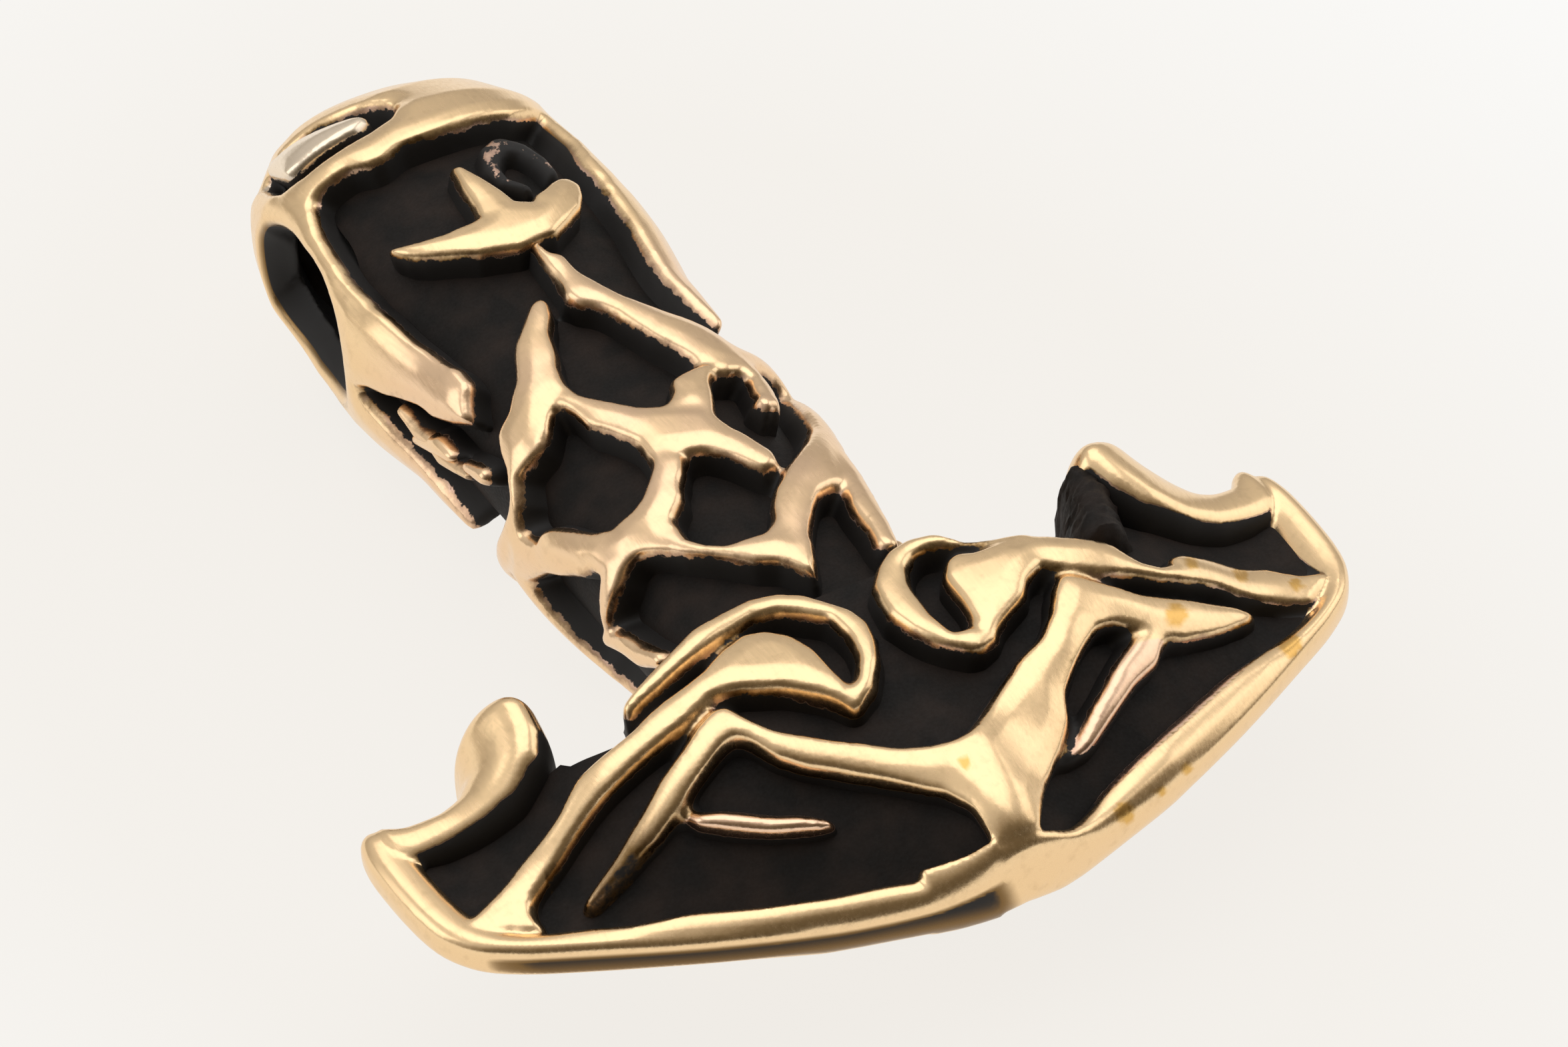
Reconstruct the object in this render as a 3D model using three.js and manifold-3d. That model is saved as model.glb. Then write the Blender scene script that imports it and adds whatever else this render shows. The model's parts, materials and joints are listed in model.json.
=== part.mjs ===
// A cast bronze Thor's hammer pendant: blackened grounds carry polished strands,
// front and back, as its wax master is built up, with a cord hole through the cap.
// Frame: X across the head, Y from the tip up the handle to the cap, Z out of the front.

import * as THREE from 'three';
import { mergeVertices } from 'three/addons/utils/BufferGeometryUtils.js';
import Module from 'manifold-3d';

const wasm = await Module();
wasm.setup();

// Head, millimetres
const headSpan = 35.6;
const headRise = 15.2;
const headLift = 0.55;
const edgeThickness = 1.3;
const prowProud = 1.9;
const prowWidth = 3.6;
const bossThickness = 9.1;
const rimWidth = 1.15;
const railWidth = 2.2;
const lugDiameter = 3.1;
const lugProud = 0.25;

// Handle and cap, millimetres
const handleFoot = 13.2;
const handleLength = 18.8;
const handleWidth = 11.8;
const handleThickness = 9;
const capLength = 16.6;
const capWidth = 13.4;
const capOffset = 0.5;
const capThickness = 10.2;
const crownFoot = 9.9;
const crownSeat = 0.9;
const cordHoleWidth = 5.8;
const cordHoleLength = 6.8;
const cordHoleHeight = 8.2;
const holeMouthLength = 7.5;

// Strands, millimetres
const groundDepth = 1.2;
const edgeDepth = 0.7;
const leafWidth = 1;
const scrollWidth = 0.95;
const forkWidth = 1.45;
const veinWidth = 0.6;
const keelWidth = 2.3;
const latticeWidth = 1.3;
const cheekWidth = 3.9;
const holeRimWidth = 1.25;
const tridentWidth = 1.2;
const eyeWidth = 1;
const flameWidth = 1;
const seatGap = 0.2;

const halfSpan = headSpan / 2;
const edge = edgeThickness / 2;
const degree = Math.PI / 180;
const squareness = 2.4;

// Rows are [place, value, ...]; the values between two rows change evenly.
function between(rows, place) {
  const last = rows.length - 1;
  if (place <= rows[0][0]) return rows[0].slice(1);
  if (place >= rows[last][0]) return rows[last].slice(1);
  const next = rows.findIndex((row) => row[0] > place);
  const [low, high] = [rows[next - 1], rows[next]];
  const share = (place - low[0]) / (high[0] - low[0]);
  return low.slice(1).map((value, i) => THREE.MathUtils.lerp(value, high[i + 1], share));
}

// The head's outline as shares of the half span across and of the rise up.
const lowerEdge = [[0, 0.015], [0.13, 0.035], [0.37, 0.12], [0.66, 0.285], [0.83, 0.395],
  [0.92, 0.465], [0.965, 0.54], [0.985, 0.63]];
const upperEdge = [[0, 0.86], [0.33, 0.86], [0.42, 0.8], [0.48, 0.77], [0.54, 0.79], [0.6, 0.79],
  [0.69, 0.73], [0.76, 0.69], [0.84, 0.69], [0.91, 0.74], [1, 0.86]];
// How much of the boss thickness is reached across the head.
const bulge = [[0, 0.88], [0.3, 1], [0.47, 0.88], [0.6, 0.7], [0.68, 0.5], [0.75, 0.28],
  [0.82, 0.14], [0.9, 0.05], [1, 0]];
const bulgeRise = 0.62;

// Height of the head's ridges over its middle plane; the front has a proud prow at the tip.
function headRidge(x, y, face = 'front') {
  const across = Math.min(1, Math.abs(x) / halfSpan);
  const foot = between(lowerEdge, across)[0] * headRise;
  const climb = THREE.MathUtils.clamp((y - foot) / (headRise - foot) / bulgeRise, 0, 1);
  const prow = face === 'front' ? prowProud * Math.exp(-((2 * x / prowWidth) ** 2)) : 0;
  const rest = edge + prow;
  const boss = Math.max(0, bossThickness / 2 - rest);
  return rest + boss * between(bulge, across)[0] * Math.sin(climb * Math.PI / 2);
}

function groundRidge(x, y, face) {
  const ridge = headRidge(x, y, face);
  const share = THREE.MathUtils.clamp((ridge - edge) / (bossThickness / 2 - edge), 0, 1);
  return ridge - THREE.MathUtils.lerp(edgeDepth, groundDepth, share);
}

// How far the handle has swelled to the cap's size, and how the cap closes at its top.
const swell = [[0, 0.1], [0.17, 0.7], [0.35, 1], [1, 1]];
const closing = [[0.5, 1, 1], [0.7, 0.95, 0.94], [0.82, 0.83, 0.81], [0.91, 0.64, 0.62],
  [0.97, 0.4, 0.4], [1, 0.12, 0.14]];

function handleRadii(y) {
  const up = (y - handleFoot - handleLength) / capLength;
  const grown = up < 0 ? 0 : between(swell, up)[0];
  const [wide, thick] = between(closing, up);
  return [
    THREE.MathUtils.lerp(handleWidth, capWidth, grown) / 2 * wide,
    THREE.MathUtils.lerp(handleThickness, capThickness, grown) / 2 * thick,
  ];
}

// A point of the handle's rounded-square section, the angle counted from the front.
function sectionPoint(angle, [wide, thick]) {
  const power = 2 / squareness;
  const [sine, cosine] = [Math.sin(angle * degree), Math.cos(angle * degree)];
  return [
    wide * Math.sign(sine) * Math.abs(sine) ** power,
    thick * Math.sign(cosine) * Math.abs(cosine) ** power,
  ];
}

// The surfaces that strands are laid on: place in, point out.
function onHead([across, up]) {
  const [x, y] = [across * halfSpan, up * headRise];
  return new THREE.Vector3(x, y, headLift + headRidge(x, y));
}

function onHeadBack([across, up]) {
  const [x, y] = [across * halfSpan, up * headRise];
  return new THREE.Vector3(x, y, headLift + headRidge(x, y, 'back'));
}

function onHandle([angle, up]) {
  const y = handleFoot + up * handleLength;
  const [x, z] = sectionPoint(angle, handleRadii(y));
  return new THREE.Vector3(x, y, z);
}

function onCap([angle, up]) {
  const y = handleFoot + handleLength + up * capLength;
  const [x, z] = sectionPoint(angle, handleRadii(y));
  return new THREE.Vector3(x, y, z);
}

// Joins rings of equal count into a closed solid; a ring's ends pair up at each cap.
function loft(rings, closed = false) {
  const count = rings[0].length;
  const positions = rings.flat().flatMap((point) => point.toArray());
  const index = [];
  const spans = closed ? rings.length : rings.length - 1;
  for (let i = 0; i < spans; i += 1) {
    const [here, there] = [i * count, ((i + 1) % rings.length) * count];
    for (let j = 0; j < count; j += 1) {
      const next = (j + 1) % count;
      index.push(here + j, here + next, there + next, here + j, there + next, there + j);
    }
  }
  const lastRing = (rings.length - 1) * count;
  for (let j = 0; !closed && j < count / 2 - 1; j += 1) {
    const [a, b, c, d] = [j, j + 1, count - 2 - j, count - 1 - j];
    index.push(a, d, b, lastRing + a, lastRing + b, lastRing + d);
    if (b !== c) {
      index.push(b, d, c, lastRing + b, lastRing + c, lastRing + d);
    }
  }
  const geometry = new THREE.BufferGeometry();
  geometry.setAttribute('position', new THREE.Float32BufferAttribute(positions, 3));
  geometry.setIndex(index);
  return solidOf(geometry);
}

function solidOf(geometry) {
  geometry.deleteAttribute('normal');
  geometry.deleteAttribute('uv');
  const merged = mergeVertices(geometry, 1e-5);
  const corners = [...merged.index.array];
  if (signedVolume(merged) < 0) {
    corners.reverse();
  }
  return new wasm.Manifold(new wasm.Mesh({
    numProp: 3,
    vertProperties: new Float32Array(merged.attributes.position.array),
    triVerts: new Uint32Array(corners),
  }));
}

function signedVolume(geometry) {
  const { position } = geometry.attributes;
  const corner = (i) => new THREE.Vector3().fromBufferAttribute(position, geometry.index.getX(i));
  let sum = 0;
  for (let i = 0; i < geometry.index.count; i += 3) {
    sum += corner(i).dot(corner(i + 1).cross(corner(i + 2)));
  }
  return sum / 6;
}

const finishes = {
  polished: new THREE.MeshStandardMaterial({ color: 0xd9b877, roughness: 0.22, metalness: 1 }),
  worn: new THREE.MeshStandardMaterial({ color: 0xd8a98a, roughness: 0.35, metalness: 1 }),
  blackened: new THREE.MeshStandardMaterial({ color: 0x15100d, roughness: 0.75, metalness: 0.4 }),
};

const pendant = new THREE.Group();
const laid = [];

// The cap is bent a little to the left of the head's middle, and the handle follows it.
function lean(point) {
  const up = THREE.MathUtils.clamp((point[1] - handleFoot) / handleLength, 0, 1);
  point[0] -= capOffset * THREE.MathUtils.smoothstep(up, 0, 1);
}

// Adds a piece, trimmed to sit beside every piece laid before it.
// shape(grow) returns its solid, with the faces moved out by grow.
function lay(name, finish, shape) {
  let body = shape(0).warp(lean);
  const reach = shape(seatGap).warp(lean);
  for (const other of laid) {
    if (meets(reach.boundingBox(), other.reach.boundingBox())) {
      body = body.subtract(other.reach);
    }
  }
  const parts = body.decompose().sort((a, b) => b.volume() - a.volume());
  laid.push({ reach });
  const mesh = parts[0].getMesh();
  const geometry = new THREE.BufferGeometry();
  geometry.setAttribute('position', new THREE.Float32BufferAttribute(mesh.vertProperties, 3));
  geometry.setIndex([...mesh.triVerts]);
  geometry.computeVertexNormals();
  const piece = new THREE.Mesh(geometry, finishes[finish]);
  piece.name = name;
  pendant.add(piece);
}

function meets(a, b) {
  return [0, 1, 2].every((axis) => a.min[axis] < b.max[axis] && b.min[axis] < a.max[axis]);
}

// A surface's point, its outward direction and its slopes at a place.
const angleStep = 0.5;
const shareStep = 0.005;
function lie(surface, place) {
  const step = Math.abs(surface([1, 0]).x) > halfSpan / 2 ? shareStep : angleStep;
  const point = surface(place);
  const across = surface([place[0] + step, place[1]])
    .sub(surface([place[0] - step, place[1]])).divideScalar(2 * step);
  const up = surface([place[0], place[1] + shareStep])
    .sub(surface([place[0], place[1] - shareStep])).divideScalar(2 * shareStep);
  return { point, across, up, out: across.clone().cross(up).normalize() };
}

// The place at a distance in a direction along the surface.
function beside(surface, place, direction, distance) {
  const { across, up } = lie(surface, place);
  const [aa, ab, bb] = [across.dot(across), across.dot(up), up.dot(up)];
  const [da, db] = [direction.dot(across) * distance, direction.dot(up) * distance];
  const spread = aa * bb - ab * ab;
  return [
    place[0] + (da * bb - db * ab) / spread,
    place[1] + (db * aa - da * ab) / spread,
  ];
}

// A crowned strand laid along places [a, b, share of the width] of a surface. turn maps
// the front, right-hand strand to the other faces.
function strand(surface, places, width, depth, turn, loop = false) {
  return (grow) => {
    const curve = new THREE.CatmullRomCurve3(
      places.map(([a, b, share]) => new THREE.Vector3(a, b, share)), loop, 'centripetal');
    const steps = Math.max(4, Math.round((places.length - 1) * 1.7) + (loop ? 3 : 0));
    const stops = [];
    for (let i = 0; i <= steps - (loop ? 1 : 0); i += 1) {
      stops.push(curve.getPoint(i / steps));
    }
    const points = stops.map((stop) => surface([stop.x, stop.y]));
    const rings = stops.map((stop, i) => {
      const before = points[loop ? (i + points.length - 1) % points.length : Math.max(0, i - 1)];
      const after = points[loop ? (i + 1) % points.length : Math.min(points.length - 1, i + 1)];
      const ahead = after.clone().sub(before).normalize();
      const { out } = lie(surface, [stop.x, stop.y]);
      const aside = out.clone().cross(ahead).normalize();
      const end = loop ? 0 : Number(i === steps) - Number(i === 0);
      const half = width * stop.z / 2 + grow;
      const rise = Math.min(depth, half) * 0.5;
      const section = [
        [-half, -depth - grow],
        [-half, grow - rise],
        [-half * 0.5, grow - rise * 0.2],
        [half * 0.5, grow - rise * 0.2],
        [half, grow - rise],
        [half, -depth - grow],
      ];
      return section.map(([side, up]) => {
        const foot = lie(surface, beside(surface, [stop.x, stop.y], aside, side));
        return foot.point
          .addScaledVector(foot.out, up)
          .addScaledVector(ahead, end * grow)
          .applyMatrix4(turn);
      });
    });
    return loft(rings, loop);
  };
}

// The four faces: [name, matrix]; a head strand is mirrored, a handle strand turned.
const asLaid = new THREE.Matrix4();
const mirrorX = new THREE.Matrix4().makeScale(-1, 1, 1);
const mirrorHead = new THREE.Matrix4().makeTranslation(0, 0, 2 * headLift)
  .scale(new THREE.Vector3(1, 1, -1));
const mirrorCap = new THREE.Matrix4().makeScale(1, 1, -1);
const halfTurn = new THREE.Matrix4().makeRotationY(Math.PI);
const hands = [['right', asLaid], ['left', mirrorX]];
const faces = [['front', asLaid, onHead], ['back', mirrorHead, onHeadBack]];
const turns = [['front', asLaid], ['back', halfTurn]];

function corners(sides) {
  return sides.flatMap(([face, flip, surface]) => hands.map(([hand, mirror]) => [
    `${face}_${hand}`,
    flip.clone().multiply(mirror),
    surface,
  ]));
}

// Cord hole: an oval tunnel along X that flares to a longer mouth at each side.
function cordTunnel(grow) {
  const centre = handleFoot + handleLength + cordHoleHeight;
  const wide = cordHoleWidth / 2 + grow;
  const long = cordHoleLength / 2 + grow;
  const mouth = holeMouthLength / 2 + grow;
  const reach = capWidth;
  const stops = [[-1, mouth], [-0.47, mouth], [-0.3, long], [0.3, long], [0.47, mouth], [1, mouth]];
  const rings = stops.map(([share, tall]) => {
    const ring = [];
    for (let i = 0; i < 16; i += 1) {
      const angle = (i / 16) * 2 * Math.PI;
      ring.push(new THREE.Vector3(
        share * reach,
        centre + tall * Math.cos(angle),
        wide * Math.sin(angle)));
    }
    return ring;
  });
  return loft(rings);
}

// Head ground: a keeled pillow inside the rim, lofted across the span.
function headGround(grow) {
  const inset = rimWidth + seatGap;
  const reach = halfSpan - inset;
  const levels = [0, 0.06, 0.2, 0.38, 0.6, 0.8, 1];
  const stations = 22;
  const rings = [];
  for (let i = 0; i <= stations; i += 1) {
    const x = (i / stations * 2 - 1) * (reach + grow);
    const across = Math.abs(x) / halfSpan;
    const low = between(lowerEdge, across)[0] * headRise + inset - grow;
    const high = between(upperEdge, across)[0] * headRise + grow;
    const heights = levels.map((level) => THREE.MathUtils.lerp(low, high, level));
    const raise = (y, face, side) => new THREE.Vector3(
      x, y, headLift + side * (groundRidge(x, y, face) + grow));
    rings.push([
      ...heights.map((y) => raise(y, 'front', 1)),
      ...heights.reverse().map((y) => raise(y, 'back', -1)),
    ]);
  }
  return loft(rings);
}

// A stretch of the handle or the cap, its rounded-square section taken in by depth.
function handleStretch(low, high, depth, grow, count = 16, stations = 6) {
  const rings = [];
  for (let i = 0; i <= stations; i += 1) {
    const y = THREE.MathUtils.lerp(low - grow, high + grow, i / stations);
    const radii = handleRadii(y).map((radius) => Math.max(0.2, radius - depth + grow));
    const ring = [];
    for (let j = 0; j < count; j += 1) {
      const [x, z] = sectionPoint(-360 * (j + 0.5) / count, radii);
      ring.push(new THREE.Vector3(x, y, z));
    }
    rings.push(ring);
  }
  return loft(rings);
}

// A band on edge around the head: path in the middle plane, thickness from front to back.
function edgeBand(places, width, turn) {
  return (grow) => {
    const curve = new THREE.CatmullRomCurve3(
      places.map(([a, b, share]) => new THREE.Vector3(a * halfSpan, b * headRise, share)),
      false, 'centripetal');
    const steps = Math.round(places.length * 1.8);
    const stops = curve.getPoints(steps);
    const rings = stops.map((stop, i) => {
      const before = stops[Math.max(0, i - 1)];
      const after = stops[Math.min(steps, i + 1)];
      const ahead = new THREE.Vector3(after.x - before.x, after.y - before.y, 0).normalize();
      const aside = new THREE.Vector3(ahead.y, -ahead.x, 0);
      const end = Number(i === steps) - Number(i === 0);
      const half = width * stop.z / 2 + grow;
      const front = headRidge(stop.x, stop.y) + grow;
      const back = headRidge(stop.x, stop.y, 'back') + grow;
      const section = [
        [-half, -back * 0.6],
        [-half, front * 0.6],
        [-half * 0.5, front],
        [half * 0.3, front],
        [half * 0.9, front * 0.55],
        [half * 0.9, -back * 0.55],
        [half * 0.3, -back],
        [-half * 0.5, -back],
      ];
      return section.map(([side, z]) => new THREE.Vector3(stop.x, stop.y, headLift + z)
        .addScaledVector(aside, side)
        .addScaledVector(ahead, end * grow)
        .applyMatrix4(turn));
    });
    return loft(rings);
  };
}

const handleTop = handleFoot + handleLength;
const crownLow = handleTop + crownFoot;
const groundTop = crownLow + crownSeat;

lay('head_ground', 'blackened', headGround);
lay('handle_ground', 'blackened', (grow) => handleStretch(
  handleFoot, handleTop, groundDepth, grow));
lay('cap_ground', 'blackened', (grow) => handleStretch(
  handleTop + seatGap, groundTop, groundDepth, grow, 20, 8).subtract(cordTunnel(-grow)));

// Head: lugs, rails and rims
const lugPlace = [0.655, 0.9];
for (const [hand, mirror] of hands) {
  lay(`lug_${hand}`, 'polished', (grow) => {
    const [x, y] = [lugPlace[0] * halfSpan, lugPlace[1] * headRise];
    const deep = headRidge(x, y) + lugProud + grow;
    const round = lugDiameter / 2 + grow;
    const profile = [[0, -deep], [0.6, -deep], [0.92, -deep * 0.85], [1, -deep * 0.6],
      [0.94, 0], [1, deep * 0.6], [0.92, deep * 0.85], [0.6, deep], [0, deep]];
    const turned = new THREE.LatheGeometry(
      profile.map(([share, level]) => new THREE.Vector2(share * round, level)), 12);
    turned.rotateX(Math.PI / 2);
    turned.translate(x * mirror.elements[0], y, headLift);
    return solidOf(turned);
  });
}
const railPath = [[0.66, 0.87, 1.1], [0.705, 0.8, 1.15], [0.77, 0.765, 1], [0.85, 0.775, 0.9],
  [0.915, 0.84, 0.85], [0.955, 0.92, 0.8]];
for (const [hand, mirror] of hands) {
  lay(`arm_rail_${hand}`, 'polished', edgeBand(railPath, railWidth, mirror));
}
const rimPath = [[0.02, 0.05, 1], [0.13, 0.075, 1], [0.37, 0.16, 0.9], [0.66, 0.325, 0.9],
  [0.82, 0.43, 1.1], [0.9, 0.495, 1.3], [0.935, 0.57, 1.4], [0.95, 0.7, 1.35], [0.96, 0.85, 1.25]];

const keelPath = [[0, 0.285, 0.6], [0, 0.2, 0.85], [0, 0.12, 1], [0, 0.05, 1]];
for (const [face, flip, surface] of faces) {
  lay(`keel_${face}`, 'polished', strand(surface, keelPath, keelWidth, groundDepth, flip));
}
for (const [hand, mirror] of hands) {
  lay(`rim_${hand}`, 'polished', edgeBand(rimPath, rimWidth, mirror));
}

// Head: forks, leaves, scrolls and veins on each quarter
const forkPath = [[0.7, 0.41, 0.4], [0.59, 0.435, 0.85], [0.48, 0.47, 1.05], [0.4, 0.515, 0.95],
  [0.34, 0.51, 0.85], [0.29, 0.45, 0.9], [0.2, 0.345, 0.95], [0.07, 0.24, 1]];
const leafPath = [[0.87, 0.475, 1.1], [0.7, 0.525, 1], [0.56, 0.595, 0.95], [0.46, 0.66, 1],
  [0.37, 0.685, 1.3], [0.29, 0.68, 2.1], [0.22, 0.635, 2.4], [0.175, 0.575, 1.7], [0.15, 0.5, 0.7]];
const scrollPath = [[0.61, 0.67, 0.5], [0.5, 0.745, 0.9], [0.4, 0.8, 1], [0.3, 0.825, 1],
  [0.19, 0.81, 1], [0.1, 0.75, 1], [0.065, 0.67, 1], [0.075, 0.59, 1], [0.11, 0.53, 1], [0.13, 0.49, 1]];
const veinPath = [[0.47, 0.41, 1], [0.41, 0.355, 1.1], [0.33, 0.3, 1], [0.25, 0.235, 0.5]];
for (const [corner, turn, surface] of corners(faces)) {
  lay(`fork_${corner}`, 'polished', strand(surface, forkPath, forkWidth, groundDepth, turn));
  lay(`leaf_${corner}`, 'polished', strand(surface, leafPath, leafWidth, groundDepth, turn));
  lay(`scroll_${corner}`, 'polished', strand(surface, scrollPath, scrollWidth, groundDepth, turn));
  lay(`vein_${corner}`, 'worn', strand(surface, veinPath, veinWidth, edgeDepth, turn));
}

// Handle: the lattice of strands, front and back
const lattice = [
  ['spine', [[-1, 1.03, 0.8], [0, 0.97, 1.1], [15, 0.78, 1.1], [28, 0.68, 1], [37, 0.6, 0.8]]],
  ['post', [[-12, 0.94, 0.7], [-24, 0.87, 1], [-42, 0.77, 1.2], [-62, 0.71, 1.2], [-80, 0.655, 1]]],
  ['brace', [[-40, 0.75, 1], [-23, 0.67, 1], [-8, 0.57, 1.1], [2, 0.45, 1], [8, 0.36, 0.6]]],
  ['bridge', [[20, 0.66, 0.8], [10, 0.6, 0.9], [2, 0.52, 0.8]]],
  ['knee', [[-2, 0.5, 0.8], [-12, 0.44, 0.9], [-28, 0.37, 1.1], [-40, 0.33, 1.1]]],
  ['knuckle', [[48, 0.4, 1.3], [36, 0.35, 1.5], [20, 0.28, 1.1], [4, 0.17, 0.8]]],
  ['loop', [[-38, 0.33, 0.9], [-56, 0.3, 0.9], [-70, 0.26, 0.8], [-79, 0.2, 0.7], [-76, 0.1, 0.7]]],
  ['collar', [[-92, 0.64, 1.2], [-77, 0.54, 1.5], [-60, 0.45, 1.1], [-48, 0.39, 0.9]]],
  ['root', [[-37, 0.3, 0.9], [-28, 0.24, 0.8], [-14, 0.15, 0.8], [-3, 0.09, 0.7]]],
  ['shoulder', [[44, 0.3, 0.7], [33, 0.18, 0.8], [36, 0.06, 0.7]]],
];
for (const [face, turn] of turns) {
  for (const [name, path] of lattice) {
    lay(`${name}_${face}`, 'polished', strand(onHandle, path, latticeWidth, groundDepth, turn));
  }
}

// Cap: crown, rims of the cord hole, cheeks, tridents and flames
lay('crown', 'polished', (grow) => {
  const top = handleTop + capLength;
  const dome = handleStretch(crownLow, top, 0, grow, 20, 8);
  return dome.subtract(cordTunnel(-grow));
});
const holeUp = cordHoleHeight / capLength;
const holeRise = (holeMouthLength + holeRimWidth) / 2 / capLength;
const holeTurn = 34;
const rimLoop = [];
for (let i = 0; i < 8; i += 1) {
  const angle = i / 8 * 2 * Math.PI;
  rimLoop.push([90 + holeTurn * Math.sin(angle), holeUp + holeRise * Math.cos(angle), 1]);
}
for (const [hand, mirror] of hands) {
  lay(`cord_hole_rim_${hand}`, 'polished', (grow) => strand(
    onCap, rimLoop, holeRimWidth, groundDepth, mirror, true)(grow).subtract(cordTunnel(-grow)));
}
const cheekPath = [[62, 0.33, 0.3], [70, 0.24, 0.8], [70, 0.13, 1], [67, 0.02, 0.95],
  [63, -0.1, 0.8], [60, -0.18, 0.4]];
for (const [corner, turn] of corners([['front', asLaid], ['back', mirrorCap]])) {
  lay(`cheek_${corner}`, 'polished', strand(onCap, cheekPath, cheekWidth, groundDepth, turn));
}
const tridentArms = [[-42, 0.32, 0.6], [-27, 0.26, 0.9], [-8, 0.215, 1.4], [6, 0.205, 1.5],
  [17, 0.235, 1.5], [23, 0.28, 1.1]];
const tridentStem = [[0, 0.25, 1.1], [1, 0.34, 0.8], [1, 0.45, 0.4]];
const eyePath = [[30, 0.46, 0.7], [22, 0.5, 0.8], [15, 0.46, 0.7], [13, 0.4, 0.6], [18, 0.35, 0.5]];
for (const [face, turn] of turns) {
  const arms = strand(onCap, tridentArms, tridentWidth, groundDepth, turn);
  const stem = strand(onCap, tridentStem, tridentWidth, groundDepth, turn);
  lay(`trident_${face}`, 'polished', (grow) => arms(grow).add(stem(grow)));
}
lay('eye_arc', 'worn', strand(onCap, eyePath, eyeWidth, groundDepth, asLaid));
const flamePath = [[86, 0.03, 0.5], [87, -0.06, 1], [85, -0.16, 1], [81, -0.26, 0.4]];
for (const [hand, mirror] of hands) {
  lay(`flame_${hand}`, 'worn', strand(onCap, flamePath, flameWidth, groundDepth, mirror));
}

// The pendant lies on its back, with the origin under the middle of its box.
const box = new THREE.Box3().setFromObject(pendant);
const middle = box.getCenter(new THREE.Vector3());
pendant.position.set(-middle.x, -middle.y, -box.min.z);

export default pendant;
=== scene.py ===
import json
import bpy
import numpy as np
from mathutils import Matrix

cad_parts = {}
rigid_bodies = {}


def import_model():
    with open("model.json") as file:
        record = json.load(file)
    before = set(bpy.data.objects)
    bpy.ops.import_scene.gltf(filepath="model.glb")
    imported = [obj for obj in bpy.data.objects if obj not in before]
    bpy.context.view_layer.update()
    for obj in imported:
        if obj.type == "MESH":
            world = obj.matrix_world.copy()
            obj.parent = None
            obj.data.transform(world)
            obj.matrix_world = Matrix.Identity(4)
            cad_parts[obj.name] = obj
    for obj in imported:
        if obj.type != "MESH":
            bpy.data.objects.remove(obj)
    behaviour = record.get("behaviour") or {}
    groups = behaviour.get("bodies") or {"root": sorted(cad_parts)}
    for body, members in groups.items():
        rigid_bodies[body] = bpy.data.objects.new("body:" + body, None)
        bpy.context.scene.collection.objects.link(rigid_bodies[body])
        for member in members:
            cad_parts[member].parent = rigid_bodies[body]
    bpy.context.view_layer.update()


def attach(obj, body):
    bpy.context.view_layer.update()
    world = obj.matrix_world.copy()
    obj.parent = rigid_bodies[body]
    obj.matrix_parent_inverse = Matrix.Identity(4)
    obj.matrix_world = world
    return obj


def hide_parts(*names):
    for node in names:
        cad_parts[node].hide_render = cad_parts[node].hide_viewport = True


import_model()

# Head ground.
# The sunken skin of the hammer head, cast in one with the rest and left rough and black by
# the patina bath. It is a keeled pillow, 9 mm thick at the handle and thin at the arm ends.
ORIGIN = np.array([0.0, -24.42523, 5.075907])  # the tip of the head; all is laid out from it in mm
HALF_SPAN, RISE, LIFT = 17.8, 15.2, 0.55
EDGE, PROW_PROUD, PROW_WIDTH, BOSS = 0.65, 1.9, 3.6, 9.1
EDGE_DEPTH, GROUND_DEPTH = 0.7, 1.2


def smooth_table(rows, spread):
    """Curves through rows of [place, value, ...], with the corners rounded off."""
    rows = np.array(rows, float)
    fine = np.linspace(rows[0, 0], rows[-1, 0], 801)
    reach = max(1, int(spread / (fine[1] - fine[0])))
    bell = np.exp(-np.linspace(-2, 2, 2 * reach + 1) ** 2)
    bell /= bell.sum()
    curves = []
    for column in rows.T[1:]:
        values = np.interp(fine, rows[:, 0], column)
        padded = np.concatenate([2 * values[0] - values[reach:0:-1], values,
                                 2 * values[-1] - values[-2:-reach - 2:-1]])
        curves.append(np.convolve(padded, bell, "valid"))
    return lambda place: [np.interp(place, fine, curve) for curve in curves]


def ramp(value, width=1.0):
    """Rises from 0 to 1 while the value goes from 0 to the width."""
    return np.clip(value / width, 0, 1)


lower_edge = smooth_table([[0, .015], [.13, .035], [.37, .12], [.66, .285], [.83, .395],
                           [.92, .465], [.965, .54], [.985, .63]], .02)
upper_edge = smooth_table([[0, .86], [.33, .86], [.42, .8], [.48, .77], [.54, .79], [.6, .79],
                           [.69, .73], [.76, .69], [.84, .69], [.91, .74], [1, .86]], .02)
bulge = smooth_table([[0, .88], [.3, 1], [.47, .88], [.6, .7], [.68, .5], [.75, .28],
                      [.82, .14], [.9, .05], [1, 0]], .05)


def head_ridge(x, y, face):
    """Height of the head's strands over its middle plane; only the front has the prow."""
    across = np.minimum(1, abs(x) / HALF_SPAN)
    foot = lower_edge(across)[0] * RISE
    climb = ramp((y - foot) / (RISE - foot), .62)
    nose = .3 + .7 * np.sqrt(1 - (1 - ramp(y - foot, 2.2)) ** 2)
    rest = EDGE + (PROW_PROUD * np.exp(-(2 * x / PROW_WIDTH) ** 2) * nose if face > 0 else 0)
    return rest + np.maximum(0, BOSS / 2 - rest) * bulge(across)[0] * np.sin(climb * np.pi / 2)


def head_depth(ridge):
    """How deep the ground lies under the strands: less where the head is thin."""
    thick = ramp(ridge - EDGE, BOSS / 2 - EDGE)
    return np.minimum(EDGE_DEPTH + (GROUND_DEPTH - EDGE_DEPTH) * thick, ridge - .2)


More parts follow.
